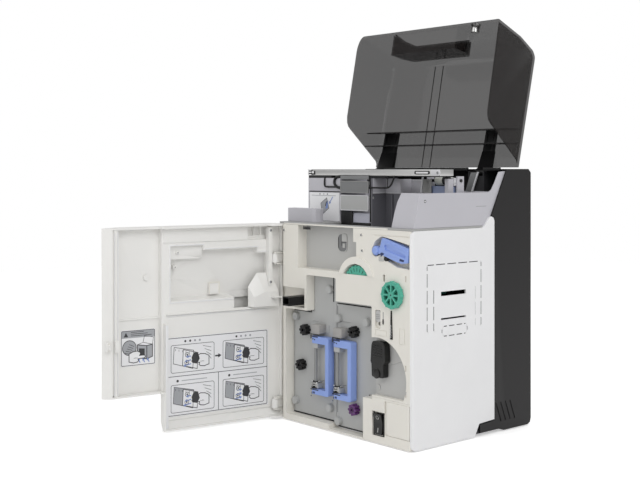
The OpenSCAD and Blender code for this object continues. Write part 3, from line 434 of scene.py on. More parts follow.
def ring(bm, outer, inner, low, high, axis="y"):
    """A flat ring between two outlines of as many points, pushed along an axis."""
    skirt(bm, [[bm.verts.new(on_axis(axis, p, h)) for p in line]
               for line, h in ((outer, low), (inner, low), (inner, high), (outer, high))], True)


def band(bm, x0, x1, y0, y1, r, wall, inner, low, high, axis="y", n=5):
    """A flat ring round a rectangle, with its outer and inner corners rounded."""
    ring(bm, rounded(x0, x1, y0, y1, r, n),
         rounded(x0 + wall, x1 - wall, y0 + wall, y1 - wall, inner, n), low, high, axis)


def washer(bm, x, z, r, hole, low, high, n=8):
    """A flat round ring on a front."""
    band(bm, x - r, x + r, z - r, z + r, r, r - hole, hole, low, high, n=n)


def capped(bm, rings):
    """Closes a tube of rings and fills both of its ends."""
    skirt(bm, rings)
    bm.faces.new(rings[0])
    bm.faces.new(rings[-1][::-1])


def lathe(bm, profile, centre, axis="y", n=40):
    """A turned shape; the profile gives radius and distance along the axis."""
    capped(bm, [[bm.verts.new(Vector(centre) + Vector(on_axis(axis, p, along)))
                 for p in around(r, n)] for r, along in profile])


def wire(bm, path, r, n=10):
    """A round wire along a path, with closed ends."""
    points = [Vector(p) for p in path]
    side, rings = None, []
    for i, p in enumerate(points):
        d = (points[min(i + 1, len(points) - 1)] - points[max(i - 1, 0)]).normalized()
        side = d.orthogonal() if side is None else side - d * side.dot(d)
        side = side.normalized()
        up = d.cross(side)
        rings.append([bm.verts.new(p + side * u + up * v) for u, v in around(r, n)])
    capped(bm, rings)


def bent(corners, r, n=6):
    """Corner points joined by straight runs with round bends."""
    points = [Vector(c) for c in corners]
    path = [points[0]]
    for before, at, after in zip(points, points[1:], points[2:]):
        a, b = (before - at).normalized(), (after - at).normalized()
        for i in range(n + 1):
            t = i / n
            path.append(at + a * r * (1 - t) ** 2 + b * r * t ** 2)
    return path + [points[-1]]


def coil(bm, start, end, radius, wire_r, turns, n=14):
    """A helical spring along z between two points."""
    a, b = Vector(start), Vector(end)
    count = int(turns * n)
    circle = around(radius, n)
    wire(bm, [a + (b - a) * (i / count) + Vector((*circle[i % n], 0))
              for i in range(count + 1)], wire_r, 6)


def screws(name, centres, r, finish, body="cabinet", place=HERE, out=-1):
    """Pan-head screws with a cross recess, on faces that look along y; out is which way."""
    heads, cuts = bmesh.new(), bmesh.new()
    for x, y, z in centres:
        lathe(heads, [(a * r, b * r * out) for a, b in
                      ((0.55, 0), (1, 0), (1, 0.3), (0.85, 0.5), (0.4, 0.62))], (x, y, z), n=20)
        y += 0.63 * r * out
        for half, tall in ((0.12, 0.5), (0.5, 0.12)):
            box(cuts, (x - half * r, y - 0.03 * r, z - tall * r),
                (x + half * r, y + 0.03 * r, z + tall * r))
    piece(name, heads, finish, body, place)
    piece(name + ".cross", cuts, "nylon_black", body, place)


class Plate:
    """A printed plate: strokes and patches in its own plane, u to the right and v up."""

    def __init__(self, origin, right, up, out):
        self.origin, self.right, self.up = Vector(origin), Vector(right), Vector(up)
        self.out, self.inks = Vector(out), {}

    def patch(self, points, ink="ink", lift=0.06):
        bm = self.inks.setdefault(ink, bmesh.new())
        bm.faces.new([bm.verts.new(self.origin + self.right * p[0] + self.up * p[1]
                                   + self.out * lift) for p in points])

    def stroke(self, points, width=0.9, ink="ink", closed=False, lift=0.1):
        points = [Vector(p) for p in points]
        if closed:
            points.append(points[0])
        for a, b in zip(points, points[1:]):
            d = (b - a).normalized() * width / 2
            s = Vector((-d.y, d.x))
            self.patch([a - d + s, a - d - s, b + d - s, b + d + s], ink, lift)

    def disc(self, centre, r, ink="ink", lift=0.12, n=20):
        self.patch([(centre[0] + u, centre[1] + v) for u, v in around(r, n)], ink, lift)

    def circle(self, centre, r, width=0.8, ink="ink", n=24):
        self.stroke([(centre[0] + u, centre[1] + v) for u, v in around(r, n)], width, ink, True)

    def border(self, x0, x1, y0, y1, width):
        self.stroke(rounded(x0, x1, y0, y1, 2, 3), width, closed=True)

    def arrow(self, a, b, width, head, ink="ink"):
        a, b = Vector(a), Vector(b)
        d = (b - a).normalized()
        s = Vector((-d.y, d.x))
        self.stroke([a + d * width / 2, b - d * head], width, ink)
        self.patch([b, b - d * head + s * head * 0.62, b - d * head - s * head * 0.62], ink, 0.13)

    def stick(self, name, body="cabinet", place=HERE):
        """Makes one piece of each ink."""
        for ink, bm in self.inks.items():
            piece(f"{name}.{ink}", bm, ink, body, place)


# Outline of a pointing hand, from the tip of its finger.
HAND = [(0, 0), (9, 0.6), (10.2, 2.4), (9, 4.2), (2, 4.2), (3.4, 5.6), (3, 8), (-1, 10),
        (-7, 9.4), (-12, 7), (-12, -3), (-6, -4.6), (-1, -4), (1, -2.4)]


def hand(plate, at, size, flip):
    """A pointing hand in outline."""
    def spot(u, v):
        return at[0] + flip * size * u, at[1] + size * v

    points = [spot(u, v) for u, v in HAND]
    plate.patch(points, "label", 0.15)
    plate.stroke(points, 1.3, "ink", True, 0.2)
    for u in (-3, -5.6):
        plate.stroke([spot(u, 1), spot(u + 2.4, 1.4)], 0.6, "ink", lift=0.2)


PICTURE = (80, 46)  # width and height of one picture


def picture(plate, x, y, turn, bay_ink="ink_grey"):
    """One picture: a cassette half out of its bay, a black grip on it and a hand."""
    w, h = PICTURE

    def spots(*points):
        return [(x + w * u, y + h * v) for u, v in points]

    plate.stroke(rounded(x, x + w, y, y + h, 3, 3), 0.8, "ink", True)
    bay = spots((0.05, 0.34), (0.5, 0.1), (0.52, 0.76), (0.07, 0.93))
    plate.patch(bay, bay_ink, 0.04)
    plate.stroke(bay, 0.9, closed=True)
    for k in range(5):
        plate.stroke(spots((0.1 + 0.08 * k, 0.86 - 0.034 * k), (0.1 + 0.08 * k, 0.8 - 0.034 * k)),
                     0.7)
    body = spots((0.26, 0.24), (0.6, 0.08), (0.62, 0.66), (0.28, 0.82))
    plate.patch(body, "label", 0.08)
    plate.stroke(body, 1.1, closed=True, lift=0.12)
    for spool in spots((0.37, 0.62), (0.36, 0.34)):
        plate.circle(spool, 3.6, 0.9)
        plate.disc(spool, 1.5, lift=0.14)
    for k in range(4):
        plate.stroke(spots((0.74 + 0.04 * k, 0.9 - 0.12 * k), (0.93, 0.82 - 0.14 * k)), 0.7)
    plate.patch(spots((0.5, 0.3), (0.6, 0.26), (0.66, 0.44), (0.62, 0.66), (0.52, 0.68),
                      (0.47, 0.5)), "ink", 0.16)
    for k in range(3):
        ends = spots((0.46, 0.28 + 0.14 * k), (0.28 + 0.03 * k, 0.22 + 0.16 * k))
        plate.arrow(*(ends if turn > 0 else ends[::-1]), 1.7, 4.4, "ink_blue")
    hand(plate, spots((0.66, 0.3))[0], 1.45, -1)


def printer_sign(plate, x, y, s):
    """A printer seen at a slant, its cover tipped back."""
    def line(*points):
        return [(x + s * u, y + s * v) for u, v in points]

    plate.patch(line((0, 0), (20, -4), (32, 0), (32, 24), (20, 22), (0, 25)), "ink_grey", 0.05)
    plate.stroke(line((0, 0), (20, -4), (20, 22), (0, 25)), 1.4, closed=True)
    plate.stroke(line((20, -4), (32, 0), (32, 24), (20, 22)), 1.4, closed=True)
    plate.stroke(line((0, 25), (12, 29), (32, 24)), 0.8)
    plate.stroke(line((12, 29), (15, 42), (34, 38), (32, 24)), 0.8)


def door_plate():
    """The large plate: four pictures, an arrow between the upper two, dots for the steps."""
    big = Plate((47, -158.4, 24), (-1, 0, 0), (0, 0, 1), (0, 1, 0))
    wide, tall, split, mid, edge = 192.0, 131.5, 66.3, 95.3, 1.5
    big.border(edge, wide - edge, edge, tall - edge, 1.0)
    big.stroke([(edge, split), (wide - edge, split)], 1.0)
    big.stroke([(mid, edge), (mid, split)], 1.0)
    # upper row: free the roller, then lift it out
    for x, turn in ((7, 1), (104, 0)):
        picture(big, x, split + 6, turn, "label" if turn else "ink_grey")
        for k in range(4):
            big.disc((x + 26 + 9 * k, split + 57.6), 1.9, "ink" if k <= turn else "ink_grey")
    big.arrow((89, split + 28), (101, split + 28), 2.6, 6)
    # lower row: pull out, and push in
    for x, turn in ((7, 1), (104, -1)):
        picture(big, x, 6, turn)
        big.disc((x + 12, 58.4), 2.2)
        big.stroke([(x + 20, 58.4), (x + 66, 58.4)], 1.3, "ink_grey")
    big.stick("door_plate", "front_door", DOOR)


def door_small_plate():
    """The small plate on the free side: a roller, a printer and a hand."""
    small = Plate((124, -170.4, 113), (-1, 0, 0), (0, 0, 1), (0, 1, 0))
    small.border(1.2, 59.8, 1.2, 57.8, 0.9)
    small.patch([(1.2, 46), (59.8, 46), (59.8, 57.8), (1.2, 57.8)], "ink_grey", 0.04)
    small.patch([(5, 48), (13, 48), (9, 55.5)], "ink")
    for i in range(3):
        small.stroke([(18, 49.5 + 2.9 * i), (54 - 7 * i, 49.5 + 2.9 * i)], 0.9)
    small.disc((15, 30), 12, "ink_grey", 0.05, 28)
    small.circle((15, 30), 12, 1.1, n=28)
    for k in range(5):
        small.stroke([(7 + 2 * k, 22 + 3.4 * k), (16 + 1.8 * k, 20 + 3 * k)], 0.8)
    printer_sign(small, 29, 13, 0.84)
    small.patch([(32, 15), (42, 13.4), (42, 27), (32, 28)], "ink")
    hand(small, (30, 11), 1.3, 1)
    for k in range(3):
        small.arrow((34 + 8 * k, 4.4), (30 + 8 * k, 11.6), 1.6, 4, "ink_blue")
    small.stick("door_small_plate", "front_door", DOOR)


def feeder_plate():
    """The plate on the feeder housing: a card at a slant, and the way it goes in."""
    feed = Plate((-163, -63.8, 346.8), (1, 0, 0), (0, 0, 1), (0, -1, 0))
    feed.stroke([(6, 42), (70, 42)], 0.8, "ink_grey")
    for i, x in enumerate((28, 38, 48)):
        feed.disc((x, 44.6), 1.2, "ink_grey" if i % 2 else "ink")
    card = [(34, 8), (52, 20), (46, 38), (30, 28)]
    feed.patch(card, "ink_grey")
    feed.stroke(card, 0.8, closed=True)
    feed.patch([(42, 18), (46, 30), (50, 34), (49, 20)], "ink_blue", 0.08)
    feed.patch([(42, 24), (44.5, 32), (46.5, 31), (44, 23)], "ink", 0.16)
    feed.arrow((62, 40), (52, 27), 1.6, 5, "ink_blue")
    feed.stick("feeder_plate")


# CAD nodes whose sharp edges are rounded, and over how many millimetres.
SOFT = {"side_cover_right": 0.8, "side_cover_left": 0.8, "rear_cover": 1.2, "front_frame": 0.6,
        "switch_block": 0.6, "blank_cover": 0.8, "rocker": 0.6, "deck": 0.6, "upper_tray": 0.8,
        "feeder_housing": 0.8, "feeder_gate": 0.4, "gate_flap_upper": 0.5,
        "gate_flap_lower": 0.5, "card_hopper": 0.5, "feed_carriage": 0.8,
        "card_chute": 0.4, "head_slider": 0.3, "head_lever": 0.9, "release_lever": 0.9,
        "feed_knob": 0.5, "thumb_wheel": 0.3, "film_frame": 0.4, "ribbon_frame": 0.4,
        "film_bail": 2.6, "ribbon_bail": 2.6, "film_knob_a": 0.5, "film_knob_b": 0.5,
        "ribbon_knob_a": 0.5, "ribbon_knob_b": 0.5, "door_shell": 0.9, "door_lining": 0.6,
        "output_tray": 0.6, "door_latch": 0.6, "hinge_strip": 0.5,
        "lid_arms": 0.8, "quadrant_panel": 0.4, "lid_lock": 0.4,
        "rear_ports": 0.3}


def corner(node):
    """Lowest and highest corners of a CAD node at rest, in millimetres."""
    low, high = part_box(node)
    return [v / MM for v in low], [v / MM for v in high]


# --------------------------------------------------------------------- feeder

BAR_Z = (424.6, 435.4)  # lower and upper face of the light bar


def light_bar():
    """The aluminium bar over the hopper: end lips, slot, end plate and the painted shadow under it.
    """
    (x0, y0, _), (x1, y1, _) = corner("top_bar")
    z0, z1 = BAR_Z
    mid = (z0 + z1) / 2
    bar = build("light_bar", "aluminium", box, ((x0, y0, z0), (x1, y1, z1), 0.8),
                ((x0 + 12, y0 - 0.5, z1 - 2.6), (x1 - 16, y0 + 0.5, z1 - 1.0), 0.2))
    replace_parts(bar, "top_bar")
    # painted shadow under the bar: black rubber strips that fill the gap between bar and housing
    build("bar_gap_shade", "neoprene", box,
          ((x0 + 0.6, y0 + 0.4, z0 - 4.7), (-106, y1 - 1, z0 + 0.1)),
          ((-80, y0 + 1.4, z0 - 2.2), (50, y1 - 1, z0 + 0.1)),
          ((50, y0 + 3, z0 - 1.6), (x1 - 6, y1 - 1, z0 + 0.1)),
          ((141, -38, z0 - 4.7), (149, y1 - 1, z0 + 0.1)))
    # stepped end cap on the left
    build("bar_end_lips", "abs_white", box,
          *[((x0, y0 - 1.2, z), (x0 + 9, y0 + 4, z + 2.2), 0.4)
            for z in (z1 - 2.2, mid - 1.1, z0)],
          ((x0 + 10.4, y0 - 0.8, mid - 1.9), (x0 + 15.6, y0 + 1, mid + 1.9), 0.4))
    build("bar_end_shadow", "nylon_black", box,
          ((x0 + 0.6, y0 - 0.3, z0 + 1), (x0 + 19, y0 + 2, z1 - 1), 0.3))
    # slotted bracket, end plate and screw on the right
    build("bar_slot_rim", "nylon_black", ring,
          (rounded(98, 131.5, mid - 3, mid + 3, 2.6),
           rounded(100.6, 128.4, mid - 1.5, mid + 1.5, 1.2), y0 - 0.7, y0 + 0.3))
    build("bar_slot_floor", "abs_white", push,
          (rounded(99, 130.5, mid - 2.2, mid + 2.2, 1.8), y0 - 0.3, y0 + 0.3))
    build("bar_end_plate", "abs_pale", push,
          (rounded(134, x1, z0 + 0.2, z1 - 0.2, 3.6), y0 - 1.0, y0 + 1, "y", 0.3))
    screws("bar_screw", [(x1 - 4.4, y0 - 1.0, mid)], 2.3, "zinc_sheet")


def bail_wire():
    """Bent wire bail under the bar, and the hook that holds the flaps."""
    y = corner("top_bar")[0][1] - 1.7
    bm = bmesh.new()
    for corners in ([(-122, y + 4.5, 423), (-122, y, 419), (-122, y, 404.4), (-79.6, y, 404.4)],
                    [(-7, y, 404.2), (38.5, y, 404.2), (45.5, y, 409), (51.4, y + 3, 424.6)]):
        wire(bm, bent(corners, 5), 1.5)
    rod(bm, (35.7, y + 0.8, 404.2), (35.7, y + 2, 424.6), 0.8, 10)
    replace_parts(piece("bail_wire", bm, "nylon_black"), "wire_bail")
    build("flap_hook", "nylon_black", wire,
          (bent([(-80, y + 2, 423), (-92, y, 422), (-97.4, y, 413), (-91.4, y, 404.6),
                 (-79.6, y, 402.4)], 6), 2.3, 12))


def flap_trim():
    """Lips round the two gate flaps, and the guide before the cards."""
    for node, body, finish in (("gate_flap_upper", "upper_flap", "nylon_lip"),
                               ("gate_flap_lower", "lower_flap", "abs_pale")):
        (_, y, z0), (_, _, z1) = corner(node)
        build(node + "_lip", finish, band,
              (-78.6, -8, z0, z1, 2.5, 1.5, 1.6, y - 0.5, y + 0.6), body=body)
    build("card_cheek", "nylon_black", flats,
          (-62.6, -60.9, 0.3, (-80.5, -51.6, 303, 363), (-51.8, -7, 303, 343.6)))
    build("bar_valance", "nylon_flap", flats, (-66, -64.4, 0.4, (-78.6, -8, 417.9, 424.5)))
    build("housing_seam", "nylon_black", flats, (-63.35, -62.4, 0, (-165.4, -82, 395.1, 396.5)))
    build("gate_post", "nylon_black", flats, (-63.2, -61.4, 0.3, (-7.6, -5.6, 345, 421)))


CARD_COUNT, CARD_FLOOR, CARD_GAP = 22, 337, 0.12  # cards, and their lowest face and gap in mm


def cards():
    """A stack of blank cards, each a little out of line."""
    rng = random.Random(7)
    (x0, y0, _), (x1, y1, z1) = corner("card_stack")
    pitch = (z1 - CARD_FLOOR) / CARD_COUNT
    bm = bmesh.new()
    for i in range(CARD_COUNT):
        dx, dy = rng.uniform(-0.3, 0.3), rng.uniform(-0.35, 0.1)
        z = CARD_FLOOR + i * pitch
        push(bm, rounded(x0 + 0.4 + dx, x1 - 0.4 + dx, y0 + 0.4 + dy, y1 - 0.4 + dy, 3.2, 4),
             z, z + pitch - CARD_GAP, "z")
    stack = piece("cards", bm, "pvc_card")
    block = build("card_block", "nylon_dark", box, ((-50, -50, 302), (-20, 15, 336.9), 1))
    for obj in (stack, block):
        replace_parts(obj, "card_stack")


def hopper_trim():
    """Corrugated block, roller sleeves and ledges at the right of the hopper."""
    build("feed_corrugation", "abs_deck", box,
          ((84, -27.4, 396.2), (101.4, -26.1, 419), 0.2),
          *[((x, -28.8, 396.2), (x + 1.5, -27.2, 419), 0.3)
            for x in (84, 86.8, 89.6, 92.4, 95.2, 98, 99.9)])
    bore, axis = 2.7, (0, -14, 417)
    for part, finish, profile in (
            ("sleeve", "silicone", [(bore, 103), (7.3, 103), (7.9, 104), (7.9, 118), (7.3, 119),
                                    (bore, 119)]),
            ("collar", "nylon_black", [(bore, 119.4), (6.4, 119.4), (6.4, 122.4),
                                       (bore, 122.4)]),
            ("core", "silicone", [(bore, 129), (5, 129), (5.6, 129.6), (5.6, 136), (5, 137),
                                  (bore, 137)])):
        build("roller_" + part, finish, lathe, (profile, axis, "x"), body="picker")
    build("motor_cap", "abs_pale", flats, (-25.2, -20.6, 0.8, (139.6, 150.6, 408.6, 421.6)))
    build("hopper_lip", "abs_pale", box,
          ((-1.8, -30.6, 394.1), (84, -27.2, 396), 0.4), ((-1.8, -5.8, 416.4), (84, -5, 418), 0.2))
    build("hopper_panels", "abs_tray", box,
          ((-2.1, -61.4, 396), (-1.2, -30.6, 420), 0.3), ((-1.2, -31, 396), (34, -30.2, 419), 0.3),
          ((34, -31, 396), (35, -5, 419), 0.3))
    build("gate_lip", "abs_pale", box, ((-2.3, -61.4, 394.2), (-1, -30.6, 396), 0.4))
    for name, finish, y0, y1, low, high, z0, z1 in (
            ("hopper_strut", "abs_pale", -27.6, -25.4, (76.5, 79.5), (80.2, 83.2), 396, 423.5),
            ("hinge_strut", "abs_pale", 76.4, 78.6, (96.5, 100), (111, 114.2), 396, 431),
            ("hinge_cover", "nylon_flap", 77.4, 78.8, (84, 96.5), (96, 110), 398.4, 430)):
        build(name, finish, push, ([(low[0], z0), (low[1], z0), (high[1], z1), (high[0], z1)],
                                   y0, y1, "y", 0.3))


# ------------------------------------------------------------------ cassettes

BAIL_Y = -136.5  # axis of the blue handles
BAILS = (("film", -63), ("ribbon", -8))  # each handle and where its axis stands in x


def bail_trim():
    """Mounts, springs, washers, and painted shade in the slots, at the knuckles of the two blue
    handles.
    """
    for side, x in BAILS:
        cassette, handle = side + "_cassette", side + "_handle"
        build(side + "_mount", "pc_mount", box,
              ((x - 2.4, -145, 158.4), (x + 17.4, -128, 173.4), 1.2),
              *[((x + 17.2, -143.4 + 3 * i, 159.6), (x + 17.9, -142 + 3 * i, 172.4), 0.2)
                for i in range(5)], body=cassette)
        # the hinge pins are part of the panel; its faces close to the axis, as far up as the pins
        # reach, get painted shade that keeps them as dark as the panel round them
        panel = bpy.data.objects[side + "_frame_moulded"].data
        panel.materials.append(FINISH["pc_pin_painted_shade"])
        for face in panel.polygons:
            spots = [panel.vertices[v].co / MM for v in face.vertices]
            if all(math.hypot(p.x - x, p.y - BAIL_Y) < 9 and 63 < p.z < 158 for p in spots):
                face.material_index = 1
        build(side + "_sleeve", "nylon_black", lathe,
              ([(3.2, 64.8), (7.6, 64.8), (7.6, 67), (5, 67), (5, 76.4), (3.2, 76.4)],
               (x, BAIL_Y, 0), "z"), body=cassette)
        bm = bmesh.new()
        coil(bm, (x, BAIL_Y, 67.6), (x, BAIL_Y, 76.6), 6.6, 0.95, 2.6)
        wire(bm, bent([(x + 6.6, BAIL_Y, 76.4), (x + 9, -139, 77), (x + 12, -136, 77.6),
                       (x + 12, -128.4, 77.6)], 2), 0.85, 6)
        piece(side + "_spring", bm, "nickel", cassette)
        # the arms are cored from the front: painted shade in the slots, in the gaps under the mount
        # and the spring, and in a pad eye in each knuckle
        for part, finish, y, shade_spots in (
                ("slots", "nylon_black", -143.2,
                 ((-6.2, 62.4, 20, 1.6), (-6.4, 148.6, 2.6, 6.6), (-1, 147.6, 2.2, 2.2),
                  (3.2, 146.6, 2.2, 2.2), (-6.4, 155.6, 20.4, 1.7))),
                ("shade_spots", "acetal_blue_recess_shade", -143.15,
                 ((-3.4, 55.4, 1.6, 3.6), (0.4, 56.6, 4.6, 3.2), (-3, 151.4, 15.6, 2.6),
                  (-5.6, 50.9, 1.6, 2)))):
            build(f"{side}_knuckle_{part}", finish, flats,
                  (y, -142.7, 0.1, *[(x + u, x + u + w, z, z + h) for u, z, w, h in shade_spots]),
                  body=handle)
        # side of the bar, ribbed for the fingers
        build(side + "_bar_ribs", "acetal_blue", box,
              *[((x + 38.6, -141.6 + 3.4 * i, 66), (x + 39.15, -140.2 + 3.4 * i, 142), 0.2)
                for i in range(3)], body=handle)


# Each spool with the axis of its knob, in x and z, and the finish of its hub; the purple knob's hub
# and lobes are in its painted recess shade.
KNOBS = (("film_spool_a", -94.6, 159.7, "nylon_black"), ("film_spool_b", -105, 98.4, "nylon_black"),
         ("ribbon_spool_a", 28.4, 169.3, "nylon_black"),
         ("ribbon_spool_b", 29, 42.6, "acetal_purple_recess_shade"))


def knob_trim():
    """Hub and ringed lobes of each fluted knob."""
    for body, x, z, finish in KNOBS:
        build(body + "_hub", finish, washer, (x, z, 4.6, 2.4, -139.3, -137.4), body=body)
        build(body + "_lobes", finish, washer,
              *[(x + u, z + v, 1.7, 1, -138.5, -137.8, 3) for u, v in around(7.2, 8)], body=body)


CASSETTE_Y = -128.0  # front of the cassette panels


def cassette_trim():
    """Boss caps, ledges and light seals of the two cassette fronts."""
    y = CASSETTE_Y
    for side, centres in (
            ("film", [(-121, 180.7), (-122.4, 34.3), (-33.3, 34.7), (-34, 233.2)]),
            ("ribbon", [(-12, 187.5), (56, 187.7), (-12, 16.4)])):
        build(side + "_boss_caps", "pc_grey", lathe,
              *[(profile, (x, y, z), "y", n) for x, z in centres for profile, n in (
                  ([(4.6, -6.05), (6.2, -6.05), (6.2, -6.9), (5.4, -7.3), (4.6, -7.3)], 24),
                  ([(0.4, -6.05), (2.6, -6.05), (2.2, -6.6), (0.4, -6.6)], 16))],
              body=side + "_cassette")
    # painted shade in the gaps round the two cassettes: black rubber strips along their outlines
    for side, lines in (
            ("film", [(-127, -84, 191, 191), (-84, -84, 191, 258), (-84, -27, 258, 258),
                      (-27, -27, 214, 258), (-128.6, -26, 14, 14)]),
            ("ribbon", [(-16.4, 76, 212, 212), (76, 76, 168, 212), (-14, 60, 8, 8),
                        (60, 60, 8, 70)])):
        build(side + "_seam_shade", "neoprene", flats,
              (y - 0.6, y + 1, 0.2, *[(x0 - 1, x1 + 1, z0 - 1, z1 + 1)
                                      for x0, x1, z0, z1 in lines]))
    build("film_ledge", "pc_edge", box,
          ((-79, y - 0.7, 175.4), (-66, y + 0.2, 176.4), 0.3),
          ((-129, y - 0.5, 16), (-127.8, y + 0.2, 188), 0.2), body="film_cassette")
    build("ribbon_ledge", "pc_edge", flats, (y - 0.7, y + 0.2, 0.3, (-8, 14, 182, 183)),
          body="ribbon_cassette")
    build("ribbon_edge", "nylon_flap", flats, (y - 0.4, y + 0.2, 0.2, (-17.6, -16.5, 30, 208)),
          body="ribbon_cassette")


# ------------------------------------------------------------------- controls

FEED_KNOB, FEED_FRONT = (133.4, 240), -154.0  # axis and front face of the green feed knob
THUMB_WHEEL = (46.5, 250)  # axis of the green thumb wheel


def knob_face():
    """Star floor, hub holes and rim of the green feed knob; marks of the thumb wheel. The floor,
    the holes and the marks are painted shade.
    """
    (x, z), front = FEED_KNOB, FEED_FRONT
    # the star floor: a disc in the green's painted recess shade, seen through the cutouts
    build("feed_knob_floor", "acetal_green_recess_shade", lathe,
          ([(0.5, -147.6), (17.4, -147.6), (17.4, -149.4), (0.5, -149.4)], (x, 0, z)),
          body="feed_wheel")
    build("feed_knob_rim", "acetal_green", washer,
          (x, z, 19.6, 17.8, front - 0.5, front + 0.6, 14),
          (x, z, 5.6, 4.2, front - 0.6, front + 0.6), body="feed_wheel")
    # black discs in the hub holes: painted shade
    build("feed_knob_hole_shade", "nylon_black", lathe,
          *[([(0.2, front - 0.12), (r, front - 0.12), (r, front + 0.3), (0.2, front + 0.3)],
             (x + u, 0, z + w), "y", 16)
            for u, w, r in ((-2.6, 5.2, 1.4), (0, 0, 1.2), (2.6, -4.6, 1.4))], body="feed_wheel")
    x, z = THUMB_WHEEL
    marks = [[(x + r * math.cos(t + s), z + r * math.sin(t + s))
              for r, s in ((20, -0.03), (26, -0.03), (26, 0.03), (20, 0.03))]
             for t in (math.radians(22 + i * 17) for i in range(9))]
    # the marks are drawn in the green's painted recess shade
    build("thumb_wheel_marks", "acetal_green_recess_shade", prisms, (-144.0, -143.7, 0, *marks),
          body="thumb")


def lever_trim():
    """Ribs, recesses with their painted shade, and stop of the blue lever; grip ridges and cap of
    the black one.
    """
    build("release_ribs", "acetal_blue", push,
          ([(106, 305.6), (112, 303.4), (157, 295.4), (158, 298.6), (114, 307.6)],
           -147.6, -146.8, "y", 0.2),
          ([(112, 320.4), (159, 309), (160, 311), (113, 322.6)], -147.7, -146.8, "y", 0.2),
          body="release")
    build("release_shadow", "acetal_blue_recess_shade", push,
          ([(105, 297.6), (113, 303), (111, 305.6), (104, 303.6)], -147.3, -146.9),
          ([(146, 293.4), (155, 292.4), (156.6, 297), (147, 298.6)], -147.25, -146.9),
          body="release")
    build("release_boss", "acetal_blue", lathe,
          ([(1.2, -147), (6.4, -147), (6.4, -148.6), (5.4, -149.4), (1.2, -149.4)],
           (93, 0, 306.9)), body="release")
    build("release_stop", "nylon_black", lathe,
          ([(0.4, -143), (3.8, -143), (3.8, -146.6), (3, -147.4), (0.4, -147.4)],
           (115.4, 0, 295), "y", 24))
    build("release_arm", "pc_panel", push,
          (rounded(99.5, 111.5, 290.6, 300.4, 2, 4), -146.9, -145.4, "y", 0.3))
    build("head_lever_ridges", "abs_gloss_black", flats,
          (-150.9, -149.9, 0.3, *[(90.6, 110, z, z + 1.2) for z in range(140, 157, 4)]),
          body="head_lock")
    build("head_lever_cap", "abs_gloss_black", lathe,
          ([(0.6, -150), (7.6, -150), (7.6, -151.2), (6.6, -152), (0.6, -152)],
           (98.5, 0, 113), "y", 32), body="head_lock")


def slider_trim():
    """Head slider with its arrow slot, the bristles of the cleaning brush and a small rack."""
    build("slider_grips", "pc_edge", flats,
          (-146.1, -145.3, 0.2, *[(92.8, 101.2, z, z + 0.9) for z in (199, 202, 205)]),
          body="slider")
    build("slider_slot", "abs_deck", flats, (-146.25, -145.8, 0.1, (108.4, 110.1, 198, 211)))
    build("slider_arrow", "nylon_black", push,
          ([(109.2, 190.6), (110.8, 193.4), (110.5, 199.6), (107.9, 199.6), (107.6, 193.4)],
           -146.35, -145.8))
    build("brush_bristles", "abs_white", wire,
          *[([(126.2 + 0.12 * i, -147.9, z), (127.9, -148.5, z + 1.1),
              (129.4 - 0.1 * i, -147.9, z + 2.2)], 0.3, 6)
            for i, z in ((i, 172.4 + i * 2.3) for i in range(9))])
    # little toothed rack below the tray's left block
    build("rack_teeth", "nylon_dark", prisms,
          (-146.5, -145.6, 0, *[[(x, 334.6), (x + 1.5, 339.4), (x + 3, 334.6), (x + 2.2, 332.8)]
                                for x in (-85 + i * 3.2 for i in range(6))]))


def rocker_trim():
    """On and off marks on the rocker, and its bezel."""
    # each half of the rocker leans from its lower edge (y, z) to its upper one
    for name, low, high, at in (("rocker_off", (-145.4, 36), (-149.4, 49.5), (-147.4, 42.75)),
                                ("rocker_on", (-147, 16.5), (-145.4, 30), (-146.2, 23.2))):
        lean = (Vector((0, *high)) - Vector((0, *low))).normalized()
        face = Plate((97.4, *at), (1, 0, 0), lean, (0, -lean.z, lean.y))
        if name == "rocker_off":
            face.circle((0, 0.6), 2.8, 0.8, "paint_white")
        else:
            face.stroke([(0, -3), (0, 3)], 1.1, "paint_white")
        face.stick(name, "power")
    build("rocker_bezel", "nylon_black", ring,
          (rounded(85.8, 109, 13.2, 52.8, 1.6, 4), rounded(87, 107.8, 14.6, 51.4, 0.8, 4),
           -144.6, -142.9))


# -------------------------------------------------------------------- cabinet

def window_plate():
    """The grey panel behind the window, with its sunk slot, clear of the thumb wheel."""
    (x0, y0, z0), (x1, y1, z1) = corner("window_panel")
    (cx, cz), r = THUMB_WHEEL, 34
    # round the wheel, from the panel's lower edge to its right one, in degrees
    first, last, steps = 27.2, 94.2, 12
    bite = [(cx - r * math.cos(t), cz + r * math.sin(t))
            for t in (math.radians(first + (last - first) * i / steps) for i in range(steps + 1))]
    bm = bmesh.new()
    push(bm, [(x0, z0)] + bite + [(x1, z1), (x0, z1)], y0, y1)
    slot = rounded(-19, 5, 297.4, 328.8, 9, 6)
    ring(bm, slot, rounded(-17.6, 3.6, 298.8, 327.4, 8, 6), y0 - 0.9, y0 + 0.3)
    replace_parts(piece("window_plate", bm, "pc_panel"), "window_panel")
    build("window_slot", "nylon_flap", push, (slot, y0 - 0.3, y0 + 0.3))
    build("window_slot_edge", "nylon_dark", flats,
          (y0 - 0.5, y0 + 0.2, 0.1, (-17.4, -16.2, 304, 322), (-9.4, -8.2, 308, 327.2),
           (-8.2, 3.4, 314, 315.2)))
    build("window_slot_block", "pc_panel", box,
          ((-8, y0 - 1.4, 315.2), (3.6, y0 + 0.2, 327.4), 0.5),
          ((-6.4, y0 - 1, 305), (-1, y0 + 0.2, 312), 0.4))


def dashes(start, end, lead, first, pitch=26, web=5):
    """Ends of the cuts along a scored line, with a web left between each and the next."""
    webs = [v for k in range(5) for v in (start + first + pitch * k,
                                          start + first + web + pitch * k) if v < end - 6]
    stops = [start + lead, *webs, end - 2.6]
    return list(zip(stops[::2], stops[1::2]))


